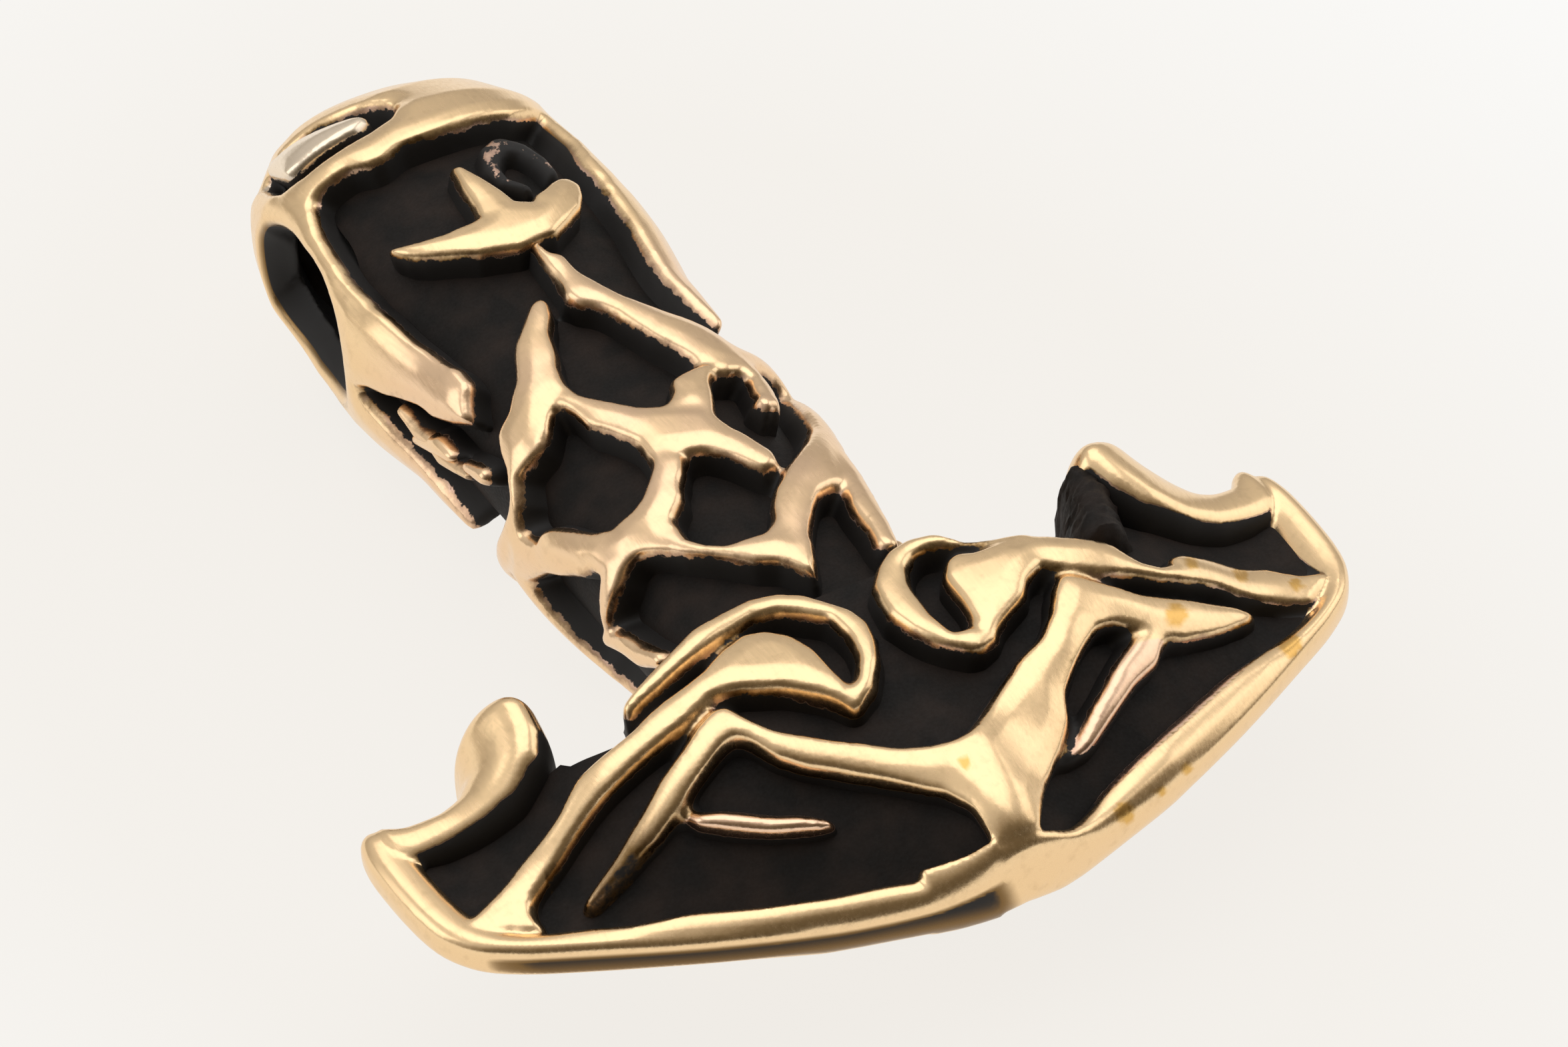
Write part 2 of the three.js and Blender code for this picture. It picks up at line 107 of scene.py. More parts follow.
def head_place(face):
    """The head's front (1) or back (-1) as a map from (x, y, height over the ground)."""
    def surface(x, y, height):
        step = .02
        ridge = head_ridge(x, y, face)
        slope_x = (head_ridge(x + step, y, face) - head_ridge(x - step, y, face)) / (2 * step)
        slope_y = (head_ridge(x, y + step, face) - head_ridge(x, y - step, face)) / (2 * step)
        out = np.stack([-slope_x, -slope_y, np.ones_like(x)], -1)
        out /= np.linalg.norm(out, axis=-1)[:, None]
        point = np.stack([x, y, ridge], -1) + out * (height - head_depth(ridge))[:, None]
        return point * [1, 1, face] + [0, 0, LIFT]
    return surface


def single_out(piece):
    """Makes the piece the active object and the only selected one."""
    bpy.ops.object.select_all(action="DESELECT")
    piece.select_set(True)
    bpy.context.view_layer.objects.active = piece


def new_grid(name, columns, rows):
    """A flat grid of one unit each way, with its first corner at the origin."""
    bpy.ops.mesh.primitive_grid_add(x_subdivisions=columns, y_subdivisions=rows, size=1,
                                    location=(.5, .5, 0))
    piece = bpy.context.object
    single_out(piece)
    bpy.ops.object.transform_apply(location=True, rotation=False, scale=False)
    piece.name = piece.data.name = name
    return piece


def corners_of(piece):
    points = np.empty(len(piece.data.vertices) * 3)
    piece.data.vertices.foreach_get("co", points)
    return points.reshape(-1, 3)


def move_corners(piece, points):
    piece.data.vertices.foreach_set("co", np.ascontiguousarray(points, float).ravel())
    piece.data.update()


def edit(piece, *steps):
    """Edit-mode steps on the whole mesh."""
    single_out(piece)
    bpy.ops.object.mode_set(mode="EDIT")
    bpy.ops.mesh.select_all(action="SELECT")
    for step in steps:
        step()
    bpy.ops.object.mode_set(mode="OBJECT")


def turn_outward():
    bpy.ops.mesh.normals_make_consistent(inside=False)


def thicken(piece):
    """Extrudes a flat sheet one unit down, so that it has an upper and a lower layer."""
    edit(piece, lambda: bpy.ops.mesh.extrude_region_move(
        TRANSFORM_OT_translate={"value": (0, 0, -1)}))


def settle(piece, material, slot, *nodes):
    move_corners(piece, (corners_of(piece) + ORIGIN) * .001)
    single_out(piece)
    bpy.ops.object.shade_smooth_by_angle(angle=np.radians(50))
    piece.data.materials.clear()
    piece.data.materials.append(material)
    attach(piece, "root")
    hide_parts(*nodes)


def new_material(name):
    material = bpy.data.materials.new(name)
    material.use_nodes = True
    return material, material.node_tree


def add_nodes(tree, **wanted):
    """New nodes by name, each given as its kind and its settings.

    A setting in small letters is the node's own, any other one is the value of an input, and
    "ramp" gives the places and colours of a colour ramp.
    """
    for name, (kind, settings) in wanted.items():
        node = tree.nodes.new("ShaderNode" + kind)
        node.name = name
        for key, value in settings.items():
            if key == "ramp":
                for stop, (place, color) in zip(node.color_ramp.elements, value):
                    stop.position = place
                    stop.color = (*color, 1)
            elif str(key)[0].islower():
                setattr(node, key, value)
            else:
                node.inputs[key].default_value = value


def wire(tree, plan):
    """Links nodes by lines of "node.Output > node.Input, node.Input", by name or by number."""
    for line in plan.strip().splitlines():
        giver, takers = line.strip().split(" > ")
        for taker in takers.split(", "):
            ends = []
            for end, side in ((giver, "outputs"), (taker, "inputs")):
                node, socket = end.split(".")
                ends.append(getattr(tree.nodes[node], side)[int(socket) if socket.isdigit() else socket])
            tree.links.new(*ends)


# Matte liver-of-sulphur black on the grainy casting skin, with faint brown bloom.
blackened, tree = new_material("blackened_ground")
tree.nodes["Principled BSDF"].inputs["Specular IOR Level"].default_value = .2
add_nodes(tree, place=("TexCoord", {}), bloom=("TexNoise", {"Scale": 700}),
          grain=("TexNoise", {"Scale": 9000, "Detail": 4}),
          tint=("ValToRGB", {"ramp": ((.35, (.006, .0045, .0035)), (.8, (.024, .015, .011)))}),
          rough=("MapRange", {"To Min": .5, "To Max": .8}),
          bump=("Bump", {"Strength": .35, "Distance": .00004}))
wire(tree, """
    place.Object > bloom.Vector, grain.Vector
    bloom.Fac > tint.Fac
    grain.Fac > rough.Value, bump.Height
    tint.Color > Principled BSDF.Base Color
    rough.Result > Principled BSDF.Roughness
    bump.Normal > Principled BSDF.Normal""")

SKIN_INSET = .7
SKIN_TOP = [
    (-13, 11.6), (-11, 11), (-9.4, 10.6), (-8.6, 10.8), (-7, 11.6), (-5.5, 12.3), (-4, 12.8),
    (-3, 13.2), (3, 13), (3.8, 12.5), (4.5, 11.8), (5.5, 11.3), (6.5, 10.9), (8.2, 10.7), (9, 11),
    (9.8, 12)]
head = new_grid("head_skin", 170, 72)
thicken(head)
place = corners_of(head)
x = (place[:, 0] * 2 - 1) * (HALF_SPAN - SKIN_INSET)
across = abs(x) / HALF_SPAN
low = lower_edge(across)[0] * RISE + np.interp(abs(x), [9, 13], [.5, -.1])
high = np.minimum(upper_edge(across)[0] * RISE, np.interp(x, *np.array(SKIN_TOP).T))
high = np.maximum(high, np.interp(abs(x), [10.6, 11.3], [0, 11.4]))
y = low + (high - low) * place[:, 1]
front = place[:, 2] > -.5
move_corners(head, np.where(front[:, None], head_place(1)(x, y, x * 0), head_place(-1)(x, y, x * 0)))
edit(head, turn_outward)
settle(head, blackened, "blackened_bronze", "head_ground")

# Head strands, front and back.
# Leaves, scrolls, forks and veins of the same bronze, modelled in the wax as raised strands
# that run into one another, then tumbled and polished so that only their feet stay black.
leaf_left = [
    (-16.6, 8), (-16, 8), (-14, 8.8), (-12.2, 9.3), (-11.3, 9.8), (-9, 10.05), (-7.5, 10.5),
    (-6, 10.75), (-5, 11.3), (-4, 11.65), (-3.2, 11.5), (-2.6, 11), (-2.3, 10), (-2.2, 8.2),
    (-2.4, 7.3), (-3, 8.05), (-4, 8.9), (-5.3, 9.45), (-6.3, 9.75), (-7.5, 9.3), (-9, 9),
    (-11, 8.7), (-12.5, 8.3), (-14, 7.7), (-15, 7.2), (-16.4, 6.9)]
scroll_left = [
    (-8.8, 11.2), (-7, 12), (-5.5, 12.6), (-4, 13), (-3, 13.15), (-2, 13), (-1.3, 12.5), (-.8, 11.8),
    (-.3, 11), (-.1, 10.2), (-.3, 9.5), (-.8, 8.5), (-1.5, 7.6), (-2.2, 7.15), (-2.15, 7.75),
    (-1.7, 8.2), (-1.2, 9), (-.95, 10), (-1.1, 11.2), (-1.8, 11.9), (-2.4, 12.3), (-3.2, 12.4),
    (-4, 12.2), (-5, 11.9), (-7, 11.35), (-8.9, 10.8)]
fork_left = [
    (-12.9, 6.35), (-11.5, 6.85), (-10.2, 7.4), (-9.2, 7.95), (-8.1, 8.4), (-7.3, 8.85), (-6.5, 9.15),
    (-6.1, 9), (-5.7, 8.1), (-5.3, 7.5), (-4.8, 7.1), (-3, 6), (-2, 5.3), (-1, 4.7), (0, 4.35),
    (.2, 0), (-.9, .6), (-1.1, 2.3), (-1.5, 3.2), (-2.2, 4), (-3, 4.7), (-4, 5.4), (-4.8, 5.9),
    (-5.6, 6.6), (-6.1, 7.5), (-6.5, 7.9), (-7, 7.8), (-8, 7.4), (-9, 6.95), (-10.2, 6.5),
    (-11.5, 6.3), (-12.7, 6.15)]
vein_left = [
    (-8.9, 6.5), (-8, 6.05), (-6.5, 5.05), (-5, 4.2), (-4.9, 4.05), (-5.5, 4.15), (-6.8, 4.7),
    (-8, 5.5), (-8.8, 6.15)]
post_left = [(-15.1, 7.6), (-14.5, 7.6), (-14.35, 5.7), (-15, 5.7)]
leaf_right = [
    (3, 9.8), (3.1, 10.8), (3.5, 11.4), (4, 11.5), (4.5, 11.2), (5.5, 11.1), (7, 10.9), (8, 10.4),
    (9, 9.75), (9.3, 9.2), (9.6, 8.8), (10.2, 8.5), (10.8, 8.6), (11, 8.95), (11.4, 9.1), (12.5, 9),
    (13.5, 8.7), (14.5, 8.6), (15.5, 7.9), (16.4, 7.75), (16.2, 6.9), (14.9, 6.8), (14, 7.1),
    (12.8, 7.5), (12, 7.8), (11, 7.9), (10, 8.05), (9, 8.35), (8, 8.6), (7, 9.1), (6.2, 9.6),
    (5.4, 9.2), (4.8, 8.6), (4, 8.2), (3.1, 7.7), (2.9, 8.1)]
scroll_right = [
    (6.5, 11.2), (5.5, 11.5), (4.5, 12), (3.8, 12.8), (3, 13.05), (2.2, 12.9), (1.5, 12.4),
    (1, 11.8), (.8, 11), (.7, 10.2), (.9, 9.3), (1.2, 8.6), (1.7, 7.9), (2.2, 7.4), (2.6, 7.3),
    (3.1, 7.6), (2.6, 8.3), (2, 8.4), (1.8, 9.5), (1.9, 10.4), (2, 11.2), (2.3, 11.9), (2.8, 12.3),
    (3.3, 12.35), (4, 12.1), (5, 11.6), (6.5, 10.9)]
fork_right = [
    (0, 4.35), (.7, 4.7), (1.5, 5.2), (2.5, 5.9), (3.5, 6.5), (4.5, 6.9), (5.4, 7.6), (5.9, 8.3),
    (6.5, 8.9), (7, 8.7), (7.8, 8.1), (8.7, 7.6), (9.8, 7.3), (11, 7.1), (12.2, 6.9), (12.85, 6.65),
    (12.3, 6.3), (11.5, 6.1), (10.5, 5.9), (9.5, 5.8), (8.6, 6), (8.1, 6.4), (7.2, 6.7), (6.5, 6.65),
    (5.8, 6.2), (5, 5.6), (4.3, 5), (3.9, 4.2), (3.1, 3.4), (2, 2.4), (1.1, 1.2), (.2, 0), (-.2, 0)]
vein_right = [
    (8.4, 6.15), (7.8, 6.1), (7.1, 5.7), (6, 4.95), (5, 4.35), (3.4, 3.05), (4.1, 3.2), (5.1, 3.7),
    (6.1, 4.25), (7.1, 4.75), (8, 5.2), (8.6, 5.8)]
HEAD_STRANDS = [leaf_left, scroll_left, fork_left, vein_left, post_left,
                leaf_right, scroll_right, fork_right, vein_right]


def distance_inside(x, y, outline):
    """Distance to a closed outline, counted positive inside it."""
    outline = np.array(outline, float)
    ahead = np.roll(outline, -1, 0)
    near = np.full(len(x), -4.0)
    low, high = outline.min(0) - 1.2, outline.max(0) + 1.2
    close = np.flatnonzero((x > low[0]) & (x < high[0]) & (y > low[1]) & (y < high[1]))
    px, py = x[close], y[close]
    best = np.full(len(close), 16.0)
    inside = np.zeros(len(close), bool)
    for (ax, ay), (bx, by) in zip(outline, ahead):
        ux, uy = bx - ax, by - ay
        share = ramp((px - ax) * ux + (py - ay) * uy, ux * ux + uy * uy + 1e-12)
        best = np.minimum(best, (px - ax - share * ux) ** 2 + (py - ay - share * uy) ** 2)
        if ay != by:
            inside ^= ((ay > py) != (by > py)) & (px < ax + (py - ay) / uy * ux)
    near[close] = np.where(inside, 1, -1) * np.sqrt(best)
    return near


def melt(fields, blend=.55):
    """Joins strands, with a fillet where they meet."""
    total = fields[0]
    for field in fields[1:]:
        gap = ramp(1 - abs(total - field) / blend)
        total = np.maximum(total, field) + gap * gap * blend / 4
    return total


def soften(field, window, blur):
    """The same field with its corners rounded, kept as a fine table."""
    low_a, high_a, low_b, high_b = window
    step = .08
    across = np.arange(low_a - 1, high_a + 1, step)
    up = np.arange(low_b - 1, high_b + 1, step)
    a, b = np.meshgrid(across, up)
    table = field(a.ravel(), b.ravel()).reshape(a.shape)
    reach = max(1, round(2.5 * blur / step))
    bell = np.exp(-(np.arange(-reach, reach + 1) * step / blur) ** 2 / 2)
    bell /= bell.sum()
    for axis in (0, 1):
        wide = np.pad(table, [(reach, reach) if axis == i else (0, 0) for i in (0, 1)], "edge")
        table = sum(weight * np.take(wide, np.arange(table.shape[axis]) + i, axis)
                    for i, weight in enumerate(bell))
    def softened(x, y):
        i = np.clip((x - across[0]) / step, 0, len(across) - 1.001)
        j = np.clip((y - up[0]) / step, 0, len(up) - 1.001)
        left, below = i.astype(int), j.astype(int)
        i, j = i - left, j - below
        return ((table[below, left] * (1 - i) + table[below, left + 1] * i) * (1 - j)
                + (table[below + 1, left] * (1 - i) + table[below + 1, left + 1] * i) * j)
    return softened


def wander(x, y, size, seed):
    """A gentle unevenness, as of wax shaped by hand: six waves in different directions."""
    golden_angle = 2.39996
    total = 0
    for i in range(6):
        turn = seed * 1.7 + i * golden_angle
        rate = 2 * np.pi / size * (1 + .37 * i)
        total = total + np.sin(rate * (x * np.cos(turn) + y * np.sin(turn)) + seed + i * 1.3) / 6
    return total


def strand_rise(field, depth):
    """Height over the ground: steep flanks, a rounded shoulder and a faint crest."""
    foot, shoulder = .22, .2
    climb = ramp(field + foot, foot + shoulder)
    rise = depth * (1 - (1 - climb) ** 2.6) * .9
    crest = .12 * depth * ramp(field, .7)
    return np.where(field < -foot, (field + foot) * 3, rise + crest)


def pick(piece, kind, elements, chosen, *steps):
    """Edit-mode steps on the chosen corners or faces alone."""
    edit(piece, lambda: bpy.ops.mesh.select_mode(type=kind),
         lambda: bpy.ops.mesh.select_all(action="DESELECT"))
    elements.foreach_set("select", chosen)
    bpy.ops.object.mode_set(mode="EDIT")
    for step in steps:
        step()
    bpy.ops.mesh.select_mode(type="VERT")
    bpy.ops.object.mode_set(mode="OBJECT")


def relief(name, surface, window, cells, field_at, depth_at, blur=0):
    """A closed sheet of strands: the crests above, a flat foot sunk in the ground below."""
    sink, margin, foot = .4, .05, .02
    if blur:
        field_at = soften(field_at, window, blur)
    piece = new_grid(name, *cells)
    low_a, high_a, low_b, high_b = window
    def chart():
        place = corners_of(piece)
        return (low_a + (high_a - low_a) * place[:, 0], low_b + (high_b - low_b) * place[:, 1],
                place[:, 2] > -.5)
    a, b, _ = chart()
    keep = strand_rise(field_at(a, b), depth_at(a, b)) > margin - sink
    faces = np.empty(len(piece.data.polygons) * 4, int)
    piece.data.polygons.foreach_get("vertices", faces)
    pick(piece, "FACE", piece.data.polygons, ~keep[faces.reshape(-1, 4)].any(1),
         lambda: bpy.ops.mesh.delete(type="FACE"))
    thicken(piece)
    a, b, above = chart()
    rise = np.maximum(strand_rise(field_at(a, b), depth_at(a, b)), -sink)
    move_corners(piece, surface(a, b, np.where(above, rise, -sink - foot)))
    return piece


def bronze_wear():
    """Patina, thin brown toning, copper fringe and polish by height over the ground, with painted
    shade and a painted sheen brought in by the mesh.

    The inputs start as the polished strands have them. The values of the mesh's corners that
    it reads are lift (height, with painted shade folded in), calm (how even the
    patina's edge is), blush (copper) and blot (orange stains on the head, a painted
    pale sheen on the crown).
    """
    group = bpy.data.node_groups.new("bronze_wear", "ShaderNodeTree")
    # Blot defaults to the orange of real stains; the crown sets it pale, as a painted sheen.
    colors = {"Bare": (.94, .67, .38, 1), "Toned": (.2, .115, .042, 1), "Copper": (.9, .6, .46, 1),
              "Black": (.008, .006, .005, 1), "Blot": (.72, .4, .08, 1)}
    numbers = {"Edge": .34, "Ragged": .8, "Polish": .13}
    for kind, inputs in (("NodeSocketColor", colors), ("NodeSocketFloat", numbers)):
        for name, value in inputs.items():
            group.interface.new_socket(name, in_out="INPUT", socket_type=kind).default_value = value
    group.interface.new_socket("Color", in_out="OUTPUT", socket_type="NodeSocketColor")
    for name in ("Roughness", "Metallic", "Height"):
        group.interface.new_socket(name, in_out="OUTPUT", socket_type="NodeSocketFloat")
    group.nodes.new("NodeGroupInput")
    group.nodes.new("NodeGroupOutput")
    for name in ("lift", "calm", "blush", "blot"):
        add_nodes(group, **{name: ("Attribute", {"attribute_name": name})})
    for name, scale, detail in (("broad", 600, 3), ("ragged", 2600, 4), ("grain", 9000, 3),
                                ("scratch", 9000, 2)):
        add_nodes(group, **{name: ("TexNoise", {"Scale": scale, "Detail": detail})})
    for name, low, high in (("bare", 0, .05), ("tone", .02, .36), ("fringe", .02, .26)):
        add_nodes(group, **{name: ("MapRange", {"interpolation_type": "SMOOTHSTEP",
                                                "From Min": low, "From Max": high})})
    for name in ("rubbed", "tan", "pink", "dyed", "skin"):
        add_nodes(group, **{name: ("Mix", {"data_type": "RGBA"})})
    group.nodes["fringe"].inputs["To Min"].default_value = .75
    group.nodes["fringe"].inputs["To Max"].default_value = 0
    add_nodes(group, place=("TexCoord", {}),
              tumble=("Mapping", {"Scale": (1, .12, 1), "Rotation": (.3, .5, .9)}),
              swell=("Math", {"operation": "MULTIPLY_ADD", 1: .6, 2: -.65}),
              nicks=("Math", {"operation": "MULTIPLY_ADD", 1: .5}),
              grit=("Math", {"operation": "MULTIPLY_ADD", 1: .2}),
              stir=("MapRange", {"To Min": 1, "To Max": 0}),
              amount=("Math", {"operation": "MULTIPLY"}),
              worn=("Math", {"operation": "MULTIPLY_ADD"}),
              past=("Math", {"operation": "SUBTRACT"}),
              fleck=("MapRange", {"From Min": .54, "From Max": .72, "To Max": .1}),
              glow=("MapRange", {"From Min": .45, "From Max": .62}),
              flush=("Math", {"operation": "MULTIPLY"}),
              dust=("Math", {"operation": "MULTIPLY"}),
              rosy=("Math", {"operation": "MAXIMUM"}),
              gloss=("Math", {"operation": "MULTIPLY_ADD", 1: .22}),
              rough=("Mix", {"A": .62}),
              metal=("MapRange", {"To Min": .1}))
    # In these steps lift carries painted shade, and blot mixes in stains on the head and a painted pale
    # sheen on the crown.
    wire(group, """
        place.Object > broad.Vector, ragged.Vector, grain.Vector, tumble.Vector
        tumble.Vector > scratch.Vector
        broad.Fac > swell.0, glow.Value
        swell.Value > nicks.2
        ragged.Fac > nicks.0, fleck.Value
        nicks.Value > grit.2
        grain.Fac > grit.0
        calm.Fac > stir.Value
        Group Input.Ragged > amount.0
        stir.Result > amount.1, flush.1
        grit.Value > worn.0
        amount.Value > worn.1
        lift.Fac > worn.2
        worn.Value > past.0
        Group Input.Edge > past.1
        past.Value > bare.Value, tone.Value, fringe.Value
        fleck.Result > rubbed.Factor
        Group Input.Bare > rubbed.A
        Group Input.Toned > rubbed.B, tan.A
        tone.Result > tan.Factor
        rubbed.Result > tan.B
        glow.Result > flush.0
        fringe.Result > dust.0
        flush.Value > dust.1
        dust.Value > rosy.0
        blush.Fac > rosy.1
        rosy.Value > pink.Factor
        tan.Result > pink.A
        Group Input.Copper > pink.B
        blot.Fac > dyed.Factor
        pink.Result > dyed.A
        Group Input.Blot > dyed.B
        bare.Result > skin.Factor, rough.Factor, metal.Value
        Group Input.Black > skin.A
        dyed.Result > skin.B
        scratch.Fac > gloss.0, Group Output.Height
        Group Input.Polish > gloss.2
        gloss.Value > rough.B
        skin.Result > Group Output.Color
        rough.Result > Group Output.Roughness
        metal.Result > Group Output.Metallic""")
    return group


def bronze(name, group, **other):
    """A bronze as the group makes it, but for the inputs that are named."""
    material, tree = new_material(name)
    add_nodes(tree, wear=("Group", {"node_tree": group, **other}),
              bump=("Bump", {"Strength": .25, "Distance": .00001}))
    wire(tree, """
        wear.Color > Principled BSDF.Base Color
        wear.Roughness > Principled BSDF.Roughness
        wear.Metallic > Principled BSDF.Metallic
        wear.Height > bump.Height
        bump.Normal > Principled BSDF.Normal""")
    return material


def head_field(side):
    """Distance inside the strands of the head; -1 mirrors them for the back."""
    def field(x, y):
        x = x * side + wander(x, y, 5, 1) * .05
        y = y + wander(y, x, 4, 2) * .05
        clear = np.interp(abs(x), [1, 3, 7], [.42, .48, .6])
        foot = lower_edge(np.minimum(abs(x) / HALF_SPAN, 1))[0] * RISE
        inset = np.minimum((y - foot - clear) * .93, 17.1 - abs(x))
        return np.minimum(melt([distance_inside(x, y, outline) for outline in HEAD_STRANDS]), inset)
    return field


wear = bronze_wear()
polished = bronze("polished_strands", wear)

# Rims, rails and lugs.
# The border that frames the head: a rim up each edge from the tip, an end bar, a rail back
# along the arm and a thumb-shaped lug, cast as one band and the most polished part of all.
rim_inner = [
    (-1.2, 1.1), (0, 1.05), (1, 1.15), (2, 1.4), (4, 2.1), (6, 2.75), (8, 3.55), (10, 4.4),
    (11.5, 5.05), (13, 5.8), (14.3, 6.35), (15.2, 7), (15.8, 8), (16.05, 9.2), (16.2, 10.6),
    (16.2, 11.6), (15.8, 12.6)]
rim_outer = [
    (-1.2, .36), (0, .3), (1, .36), (2, .55), (4, 1.05), (6, 1.6), (8, 2.35), (10, 3.2),
    (11.5, 3.9), (13.4, 4.85), (15.2, 5.75), (16.6, 6.7), (17.35, 7.9), (17.6, 9.2), (17.72, 10.8),
    (17.75, 12.4), (17.3, 13.9)]
rail_left = (
    [(17.4, 12), (16.4, 11.2), (15.2, 10.9), (14, 10.7), (12.6, 10.6), (11.3, 11.2), (10.7, 12.2),
     (10.55, 13.4), (10.6, 15.1)],
    [(17, 13.6), (16.2, 12.9), (15.2, 12.6), (14.4, 12.7), (13.8, 13.2), (13.55, 14), (13.4, 15.1)])
rail_right = (
    [(17.4, 12), (16.4, 11.1), (15.2, 10.8), (14, 10.6), (12.6, 10.8), (11.2, 11.3), (10.3, 12.4),
     (9.8, 13.6), (9.8, 15.5)],
    [(17, 14.1), (16.4, 13.7), (16, 13.1), (15.2, 12.95), (14.5, 13.1), (14, 13.7), (13.4, 14.3),
     (12.7, 15.5)])


def along(points, shares):
    """The x and the y of a smoothed line, at shares of its length."""
    points = np.array(points, float)
    steps = np.r_[0, np.cumsum(np.linalg.norm(np.diff(points, axis=0), axis=1))]
    return smooth_table(np.c_[steps / steps[-1], points], .05)(shares)


def oval(turn, square):
    """Sine and cosine of a turn round an oval whose sides are squared off."""
    return [np.sign(wave) * abs(wave) ** (2 / square) for wave in (np.sin(turn), np.cos(turn))]


def close_up(piece):
    edit(piece, lambda: bpy.ops.mesh.remove_doubles(threshold=.002), turn_outward)


def bar(name, inner, outer, proud, taper, square=3, flat=3, drop=0.0, nose=0.0, count=90):
    """A closed bar between two edge lines, as thick as the head is there and a little proud.

    It tapers to its ends, may have a thinner nose, and its inner side may drop from there on.
    """
    piece = new_grid(name, count, 44)
    place = corners_of(piece)
    share, turn = place[:, 0], place[:, 1] * 2 * np.pi
    fine = np.linspace(0, 1, 300)
    a, b = (np.stack([np.interp(share, fine, line) for line in along(edge, fine)], -1)
            for edge in (inner, outer))
    close = np.minimum(ramp(share, taper[0]), ramp(1 - share, taper[1]))
    close = np.sqrt(1 - (1 - close) ** 2)
    middle, half = (a + b) / 2, (a - b) / 2
    side, up = oval(turn, square)[1], oval(turn, flat)[0]
    spot = middle + half * (side * close)[:, None]
    thick = np.where(up > 0, head_ridge(spot[:, 0], spot[:, 1], 1), head_ridge(spot[:, 0], spot[:, 1], -1))
    thick = thick + np.interp(share, [0, .45, 1], proud)
    thick = thick - np.interp(share, [.05, .13], [0, drop]) * ramp(.35 + .65 * side) ** 1.4
    thick = thick - np.interp(share, [.04, .1], [nose, 0])
    move_corners(piece, np.c_[spot, LIFT + up * thick * close])
    close_up(piece)
    return piece


def modify(piece, kind, **settings):
    single_out(piece)
    step = piece.modifiers.new(kind.lower(), kind)
    for key, value in settings.items():
        setattr(step, key, value)
    bpy.ops.object.modifier_apply(modifier=step.name)


def fuse(piece, voxel):
    """Casts joined solids into one skin, rounds it, drops stray bits and thins the flats."""
    most = 190000
    modify(piece, "REMESH", mode="VOXEL", voxel_size=voxel)
    modify(piece, "SMOOTH", factor=.5, iterations=2)
    height = corners_of(piece)[:, 1]
    pick(piece, "VERT", piece.data.vertices, height == height.max(), bpy.ops.mesh.select_linked,
         lambda: bpy.ops.mesh.select_all(action="INVERT"), lambda: bpy.ops.mesh.delete(type="VERT"))
    share = most / (2 * len(piece.data.polygons))
    if share < 1:
        modify(piece, "DECIMATE", ratio=share)


def normals_of(piece):
    normals = np.empty(len(piece.data.vertices) * 3)
    piece.data.vertex_normals.foreach_get("vector", normals)
    return normals.reshape(-1, 3)


def set_values(piece, name, values):
    """One number for each corner of the mesh, for the patina to read."""
    data = piece.data.attributes.new(name, "FLOAT", "POINT").data
    data.foreach_set("value", np.ascontiguousarray(values, np.float32))


def patina(height, normals, left_shade=0.0):
    """Patina left by the tumbling: black up to half a flank, or a wider olive-brown band where
    left_shade asks for painted shade.

    Flanks that face the tip and the left arm are darkened too, as painted shade.
    """
    # Painted shade: flanks turned towards the tip and the left arm are made darker, and left_shade lowers
    # the black edge and widens the brown band.
    share = ramp(normals @ (np.array([-.5, -.85, .12]) / .993) - .4, .4)
    lift = .34 + (1.3 - .75 * left_shade) * (height - .52 + .4 * left_shade)
    return lift - .22 * (1 - left_shade) * share * share * (3 - 2 * share) * ramp(height)


BLOTS = [(9.5, 6.6, .4), (13.15, 5.2, .4), (13.2, 8.3, .28), (11.4, 8.6, .25), (4.1, 1.2, .36),
         (7, 2, .2), (5.7, 1.5, .18), (14.9, 7.5, .22), (-.5, 3.5, .22)]
BLOT_LEAN = np.array([.359982, .668626, -.650656])


def blots_at(points):
    """Small orange flecks where the cleaning acid has dried, most of them on the right arm."""
    total = np.zeros(len(points))
    for spot_x, spot_y, size in BLOTS:
        ridge = head_ridge(np.array([spot_x]), np.array([spot_y]), 1)[0]
        reach = points - [spot_x, spot_y, LIFT + ridge]
        depth = reach @ BLOT_LEAN
        away = np.linalg.norm(reach - depth[:, None] * BLOT_LEAN, axis=1) / size
        away = away + .25 * wander(points[:, 0], points[:, 1], .8, spot_x)
        total = np.maximum(total, np.clip((1.1 - away) / .35, 0, .8) * (abs(depth) < 1.6))
    return total


